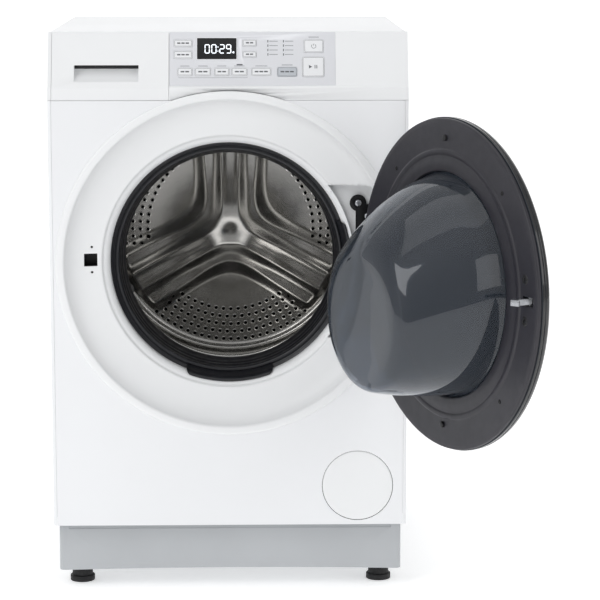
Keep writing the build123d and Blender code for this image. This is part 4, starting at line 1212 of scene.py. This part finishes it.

# --------------------------------------------------------- running gear
# springs: real coils with straight end legs, in place of their tube solids
def tube_mesh(name, pts, r, seg=12, mats=None):
    verts, faces = [], []
    n = len(pts)
    up = Vector((0.13, 0.31, 0.94)).normalized()
    for i, p in enumerate(pts):
        t = (Vector(pts[min(i + 1, n - 1)]) - Vector(pts[max(i - 1, 0)])).normalized()
        if i == 0:
            nrm = (up - t * up.dot(t)).normalized()
        else:
            nrm = (nrm - t * nrm.dot(t)).normalized()
        bn = t.cross(nrm)
        for k in range(seg):
            a = 2 * math.pi * k / seg
            verts.append(Vector(p) + (nrm * math.cos(a) + bn * math.sin(a)) * r)
    for i in range(n - 1):
        for k in range(seg):
            q = (k + 1) % seg
            faces.append((i * seg + k, i * seg + q, (i + 1) * seg + q, (i + 1) * seg + k))
    faces.append(tuple(range(seg - 1, -1, -1)))
    faces.append(tuple((n - 1) * seg + k for k in range(seg)))
    return new_obj(name, verts, faces, mats=mats, angle=60)


for side, nm in ((-1, "left"), (1, "right")):
    pts = []
    turns, per = 30, 18
    pts.append(P(side * 272, 400, 645.2))
    pts.append(P(side * 272, 400, 656.0))
    for i in range(turns * per + 1):
        t = i / (turns * per)
        rad = 8.0 * min(1.0, t * 18 + 0.05, (1 - t) * 18 + 0.05)
        a = 2 * math.pi * i / per
        pts.append(P(side * 272 + rad * math.cos(a), 400 + rad * math.sin(a), 661 + 222 * t))
    pts.append(P(side * 272, 400, 888.0))
    pts.append(P(side * 272, 400, 898.8))
    sp_ = tube_mesh("suspension_coil_" + nm, pts, 0.00155, 8)
    sp_.data.materials.append(M["zinc_steel"])
    if side < 0:
        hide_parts("suspension_springs")
    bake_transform(sp_)

# dampers: cylinder on the base, rod on the tub, with collars
first = True
for sx in (-1, 1):
    for dy in (290.0, 450.0):
        x = sx * 150.0
        pr_ = [(0, 52.3), (11.0, 52.3), (12.4, 53.4), (13.0, 56.0), (13.0, 66), (12.2, 68), (12.2, 184), (13.0, 186), (13.0, 197),
               (12.0, 199.6), (6.0, 200.0), (5.2, 199.0), (5.0, 201), (5.0, 308), (5.4, 310.5), (8.2, 312), (9.0, 314), (9.0, 318),
               (8.0, 320.4), (0, 320.6)]
        seg = 40
        verts, faces = [], []
        for j in range(seg):
            a = 2 * math.pi * j / seg
            for r, z in pr_:
                verts.append(P(x + r * math.cos(a), dy + r * math.sin(a), z))
        n = len(pr_)
        for j in range(seg):
            k = (j + 1) % seg
            for i in range(n - 1):
                faces.append((j * n + i, j * n + i + 1, k * n + i + 1, k * n + i))
        d = new_obj("damper_%s_%d" % ("left" if sx < 0 else "right", dy), verts, faces)
        bm = bmesh.new(); bm.from_mesh(d.data)
        bmesh.ops.remove_doubles(bm, verts=bm.verts, dist=1e-7)
        bmesh.ops.recalc_face_normals(bm, faces=bm.faces)
        bm.to_mesh(d.data); bm.free()
        d.data.materials.append(M["black_plastic"])
        if first:
            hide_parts("dampers")
            first = False
        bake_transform(d)


# hoses: bellows from the dispenser to the tub, sump hose to the pump
def bellows(name, centres, radii, seg=48):
    verts, faces = [], []
    n = len(centres)
    nrm = None
    for i, p in enumerate(centres):
        t = (Vector(centres[min(i + 1, n - 1)]) - Vector(centres[max(i - 1, 0)])).normalized()
        if nrm is None:
            base = Vector((0.2, 0.95, 0.1))
            nrm = (base - t * base.dot(t)).normalized()
        else:
            nrm = (nrm - t * nrm.dot(t)).normalized()
        bn = t.cross(nrm)
        for k in range(seg):
            a = 2 * math.pi * k / seg
            verts.append(Vector(p) + (nrm * math.cos(a) + bn * math.sin(a)) * radii[i])
    for i in range(n - 1):
        for k in range(seg):
            q = (k + 1) % seg
            faces.append((i * seg + k, i * seg + q, (i + 1) * seg + q, (i + 1) * seg + k))
    faces.append(tuple(range(seg - 1, -1, -1)))
    faces.append(tuple((n - 1) * seg + k for k in range(seg)))
    return new_obj(name, verts, faces, angle=60)


cs, rs = [], []
for i in range(97):
    t = i / 96
    z = 832.6 - 71.4 * t
    cs.append(P(-197, 250, z))
    wv = 0.5 + 0.5 * math.cos(2 * math.pi * t * 8)
    edge = min(1.0, t * 12, (1 - t) * 12)
    rs.append((13.6 + (3.3 * wv * edge) + (2.2 if edge < 0.6 else 0)) / 1000)
h = bellows("dispenser_hose_bellows", cs, rs)
h.data.materials.append(M["gasket_rubber"])
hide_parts("tub_hoses")
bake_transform(h)

path = [(60, 250, 274.4), (60, 250, 255), (60, 250, 232), (60.5, 250, 208), (66, 247, 190), (82, 240, 179.5), (104, 230.5, 177),
        (132, 218.5, 177), (156, 208, 177), (173.2, 200.6, 177)]
dense = spline(path, 12)
n = len(dense)
rs = []
for i in range(n):
    t = i / (n - 1)
    edge = min(1.0, t * 9, (1 - t) * 9)
    rs.append((12.2 + 2.4 * (0.5 + 0.5 * math.cos(2 * math.pi * t * 13)) * edge) / 1000)
h = bellows("sump_hose", [P(*q) for q in dense], rs)
h.data.materials.append(M["gasket_rubber"])
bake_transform(h)

# cabinet screws on the back: pan heads with cross recesses
cs_ = []
spots = [(sx * 268, z, 640 - 0.2, 2.2) for sx in (-1, 1) for z in (130, 330, 530, 730, 895)] + [(sx * 200, 924, 640, 2.2) for sx in (-1, 1)]
for x, z, y, hgt in spots:
    hd = revolve("cs", [(0, y), (4.5, y), (4.5, y + 0.5), (4.1, y + 1.3), (3.1, y + 1.9), (1.6, y + hgt - 0.05), (0, y + hgt)],
                 seg=28, cx=x, cz=z, closed=False)
    for w_, h_ in ((4.4, 0.8), (0.8, 4.4)):
        boolean(hd, box_obj("x", x - w_ / 2, x + w_ / 2, y + 1.3, y + 4, z - h_ / 2, z + h_ / 2), "DIFFERENCE")
    hd.data.materials.clear()
    hd.data.materials.append(M["zinc_steel"])
    cs_.append(hd)
cs_ = join("cabinet_screw_heads", cs_)
put(cs_, "cabinet", "zinc_steel", "cabinet_screws")

# ------------------------------------------------------------------ stage
floor_m = surface("floor_pale", (250, 250, 250), 0.75, vary=1, vscale=2, rvary=0.05, bump=0.05, bscale=300)
fb = floor_m.node_tree.nodes["Principled BSDF"]
fb.inputs["Emission Color"].default_value = (1.0, 1.0, 1.0, 1.0)
fb.inputs["Emission Strength"].default_value = 0.40
fv, ff = [], []
S = 5.0
prof_f = [(-S, 0.0), (3.4, 0.0)]
for k in range(1, 13):
    a = math.radians(90 * k / 12)
    prof_f.append((3.4 + 1.6 * math.sin(a), 1.6 - 1.6 * math.cos(a)))
prof_f.append((5.0, 6.0))
for y, z in prof_f:
    fv += [(-7.0, y, z), (7.0, y, z)]
for i in range(len(prof_f) - 1):
    ff.append((2 * i, 2 * i + 1, 2 * i + 3, 2 * i + 2))
floor = new_obj("studio_floor", fv, ff, mats=[floor_m])

SCENE.view_settings.view_transform = "Standard"

world = bpy.data.worlds.new("studio")
SCENE.world = world
world.use_nodes = True
wn = world.node_tree
bg = wn.nodes["Background"]
bg.inputs["Strength"].default_value = 0.84
wt = wn.nodes.new("ShaderNodeTexCoord")
ws = wn.nodes.new("ShaderNodeSeparateXYZ")
wn.links.new(wt.outputs["Generated"], ws.inputs["Vector"])
wr = wn.nodes.new("ShaderNodeValToRGB")
wm = wn.nodes.new("ShaderNodeMapRange")
wm.inputs["From Min"].default_value = -1.0
wm.inputs["From Max"].default_value = 1.0
wn.links.new(ws.outputs["Y"], wm.inputs["Value"])
wn.links.new(wm.outputs["Result"], wr.inputs["Fac"])
e = wr.color_ramp.elements
e[0].position, e[0].color = 0.0, (0.42, 0.425, 0.43, 1)
e[1].position, e[1].color = 1.0, (0.74, 0.745, 0.75, 1)
for pos, v in ((0.10, 0.56), (0.28, 0.82), (0.5, 0.52), (0.72, 0.66)):
    q = e.new(pos)
    q.color = (v * 0.985, v * 0.992, v, 1)
wn.links.new(wr.outputs["Color"], bg.inputs["Color"])


def area(name, loc, target, size, power, size_y=None, colour=(1, 1, 1)):
    d = bpy.data.lights.new(name, "AREA")
    d.energy = power
    d.color = colour
    d.shape = "RECTANGLE"
    d.size = size
    d.size_y = size_y or size
    o = bpy.data.objects.new(name, d)
    o.location = loc
    o.rotation_mode = "QUATERNION"
    o.rotation_quaternion = (Vector(target) - Vector(loc)).to_track_quat("-Z", "Y")
    COL.objects.link(o)
    return o


area("key_soft", (-2.4, -3.0, 2.9), (0, -0.3, 0.5), 2.4, 42, 2.0)
area("fill_soft", (2.6, -3.0, 1.8), (0.1, -0.3, 0.45), 2.2, 15, 2.0)
area("top_soft", (0.0, -0.5, 3.2), (0, -0.2, 0.5), 2.6, 10, 2.0)

cam_d = bpy.data.cameras.new("camera")
cam = bpy.data.objects.new("camera", cam_d)
COL.objects.link(cam)
cam_d.sensor_width = 36.0
cam_d.lens = 145.9
cam.location = (0.0254, -4.320, 1.1307)
cam.rotation_mode = "XYZ"
cam.rotation_euler = (math.radians(90 - 9.039), 0.0, math.radians(-1.325))
cam_d.clip_start = 0.05
cam_d.clip_end = 60
SCENE.camera = cam
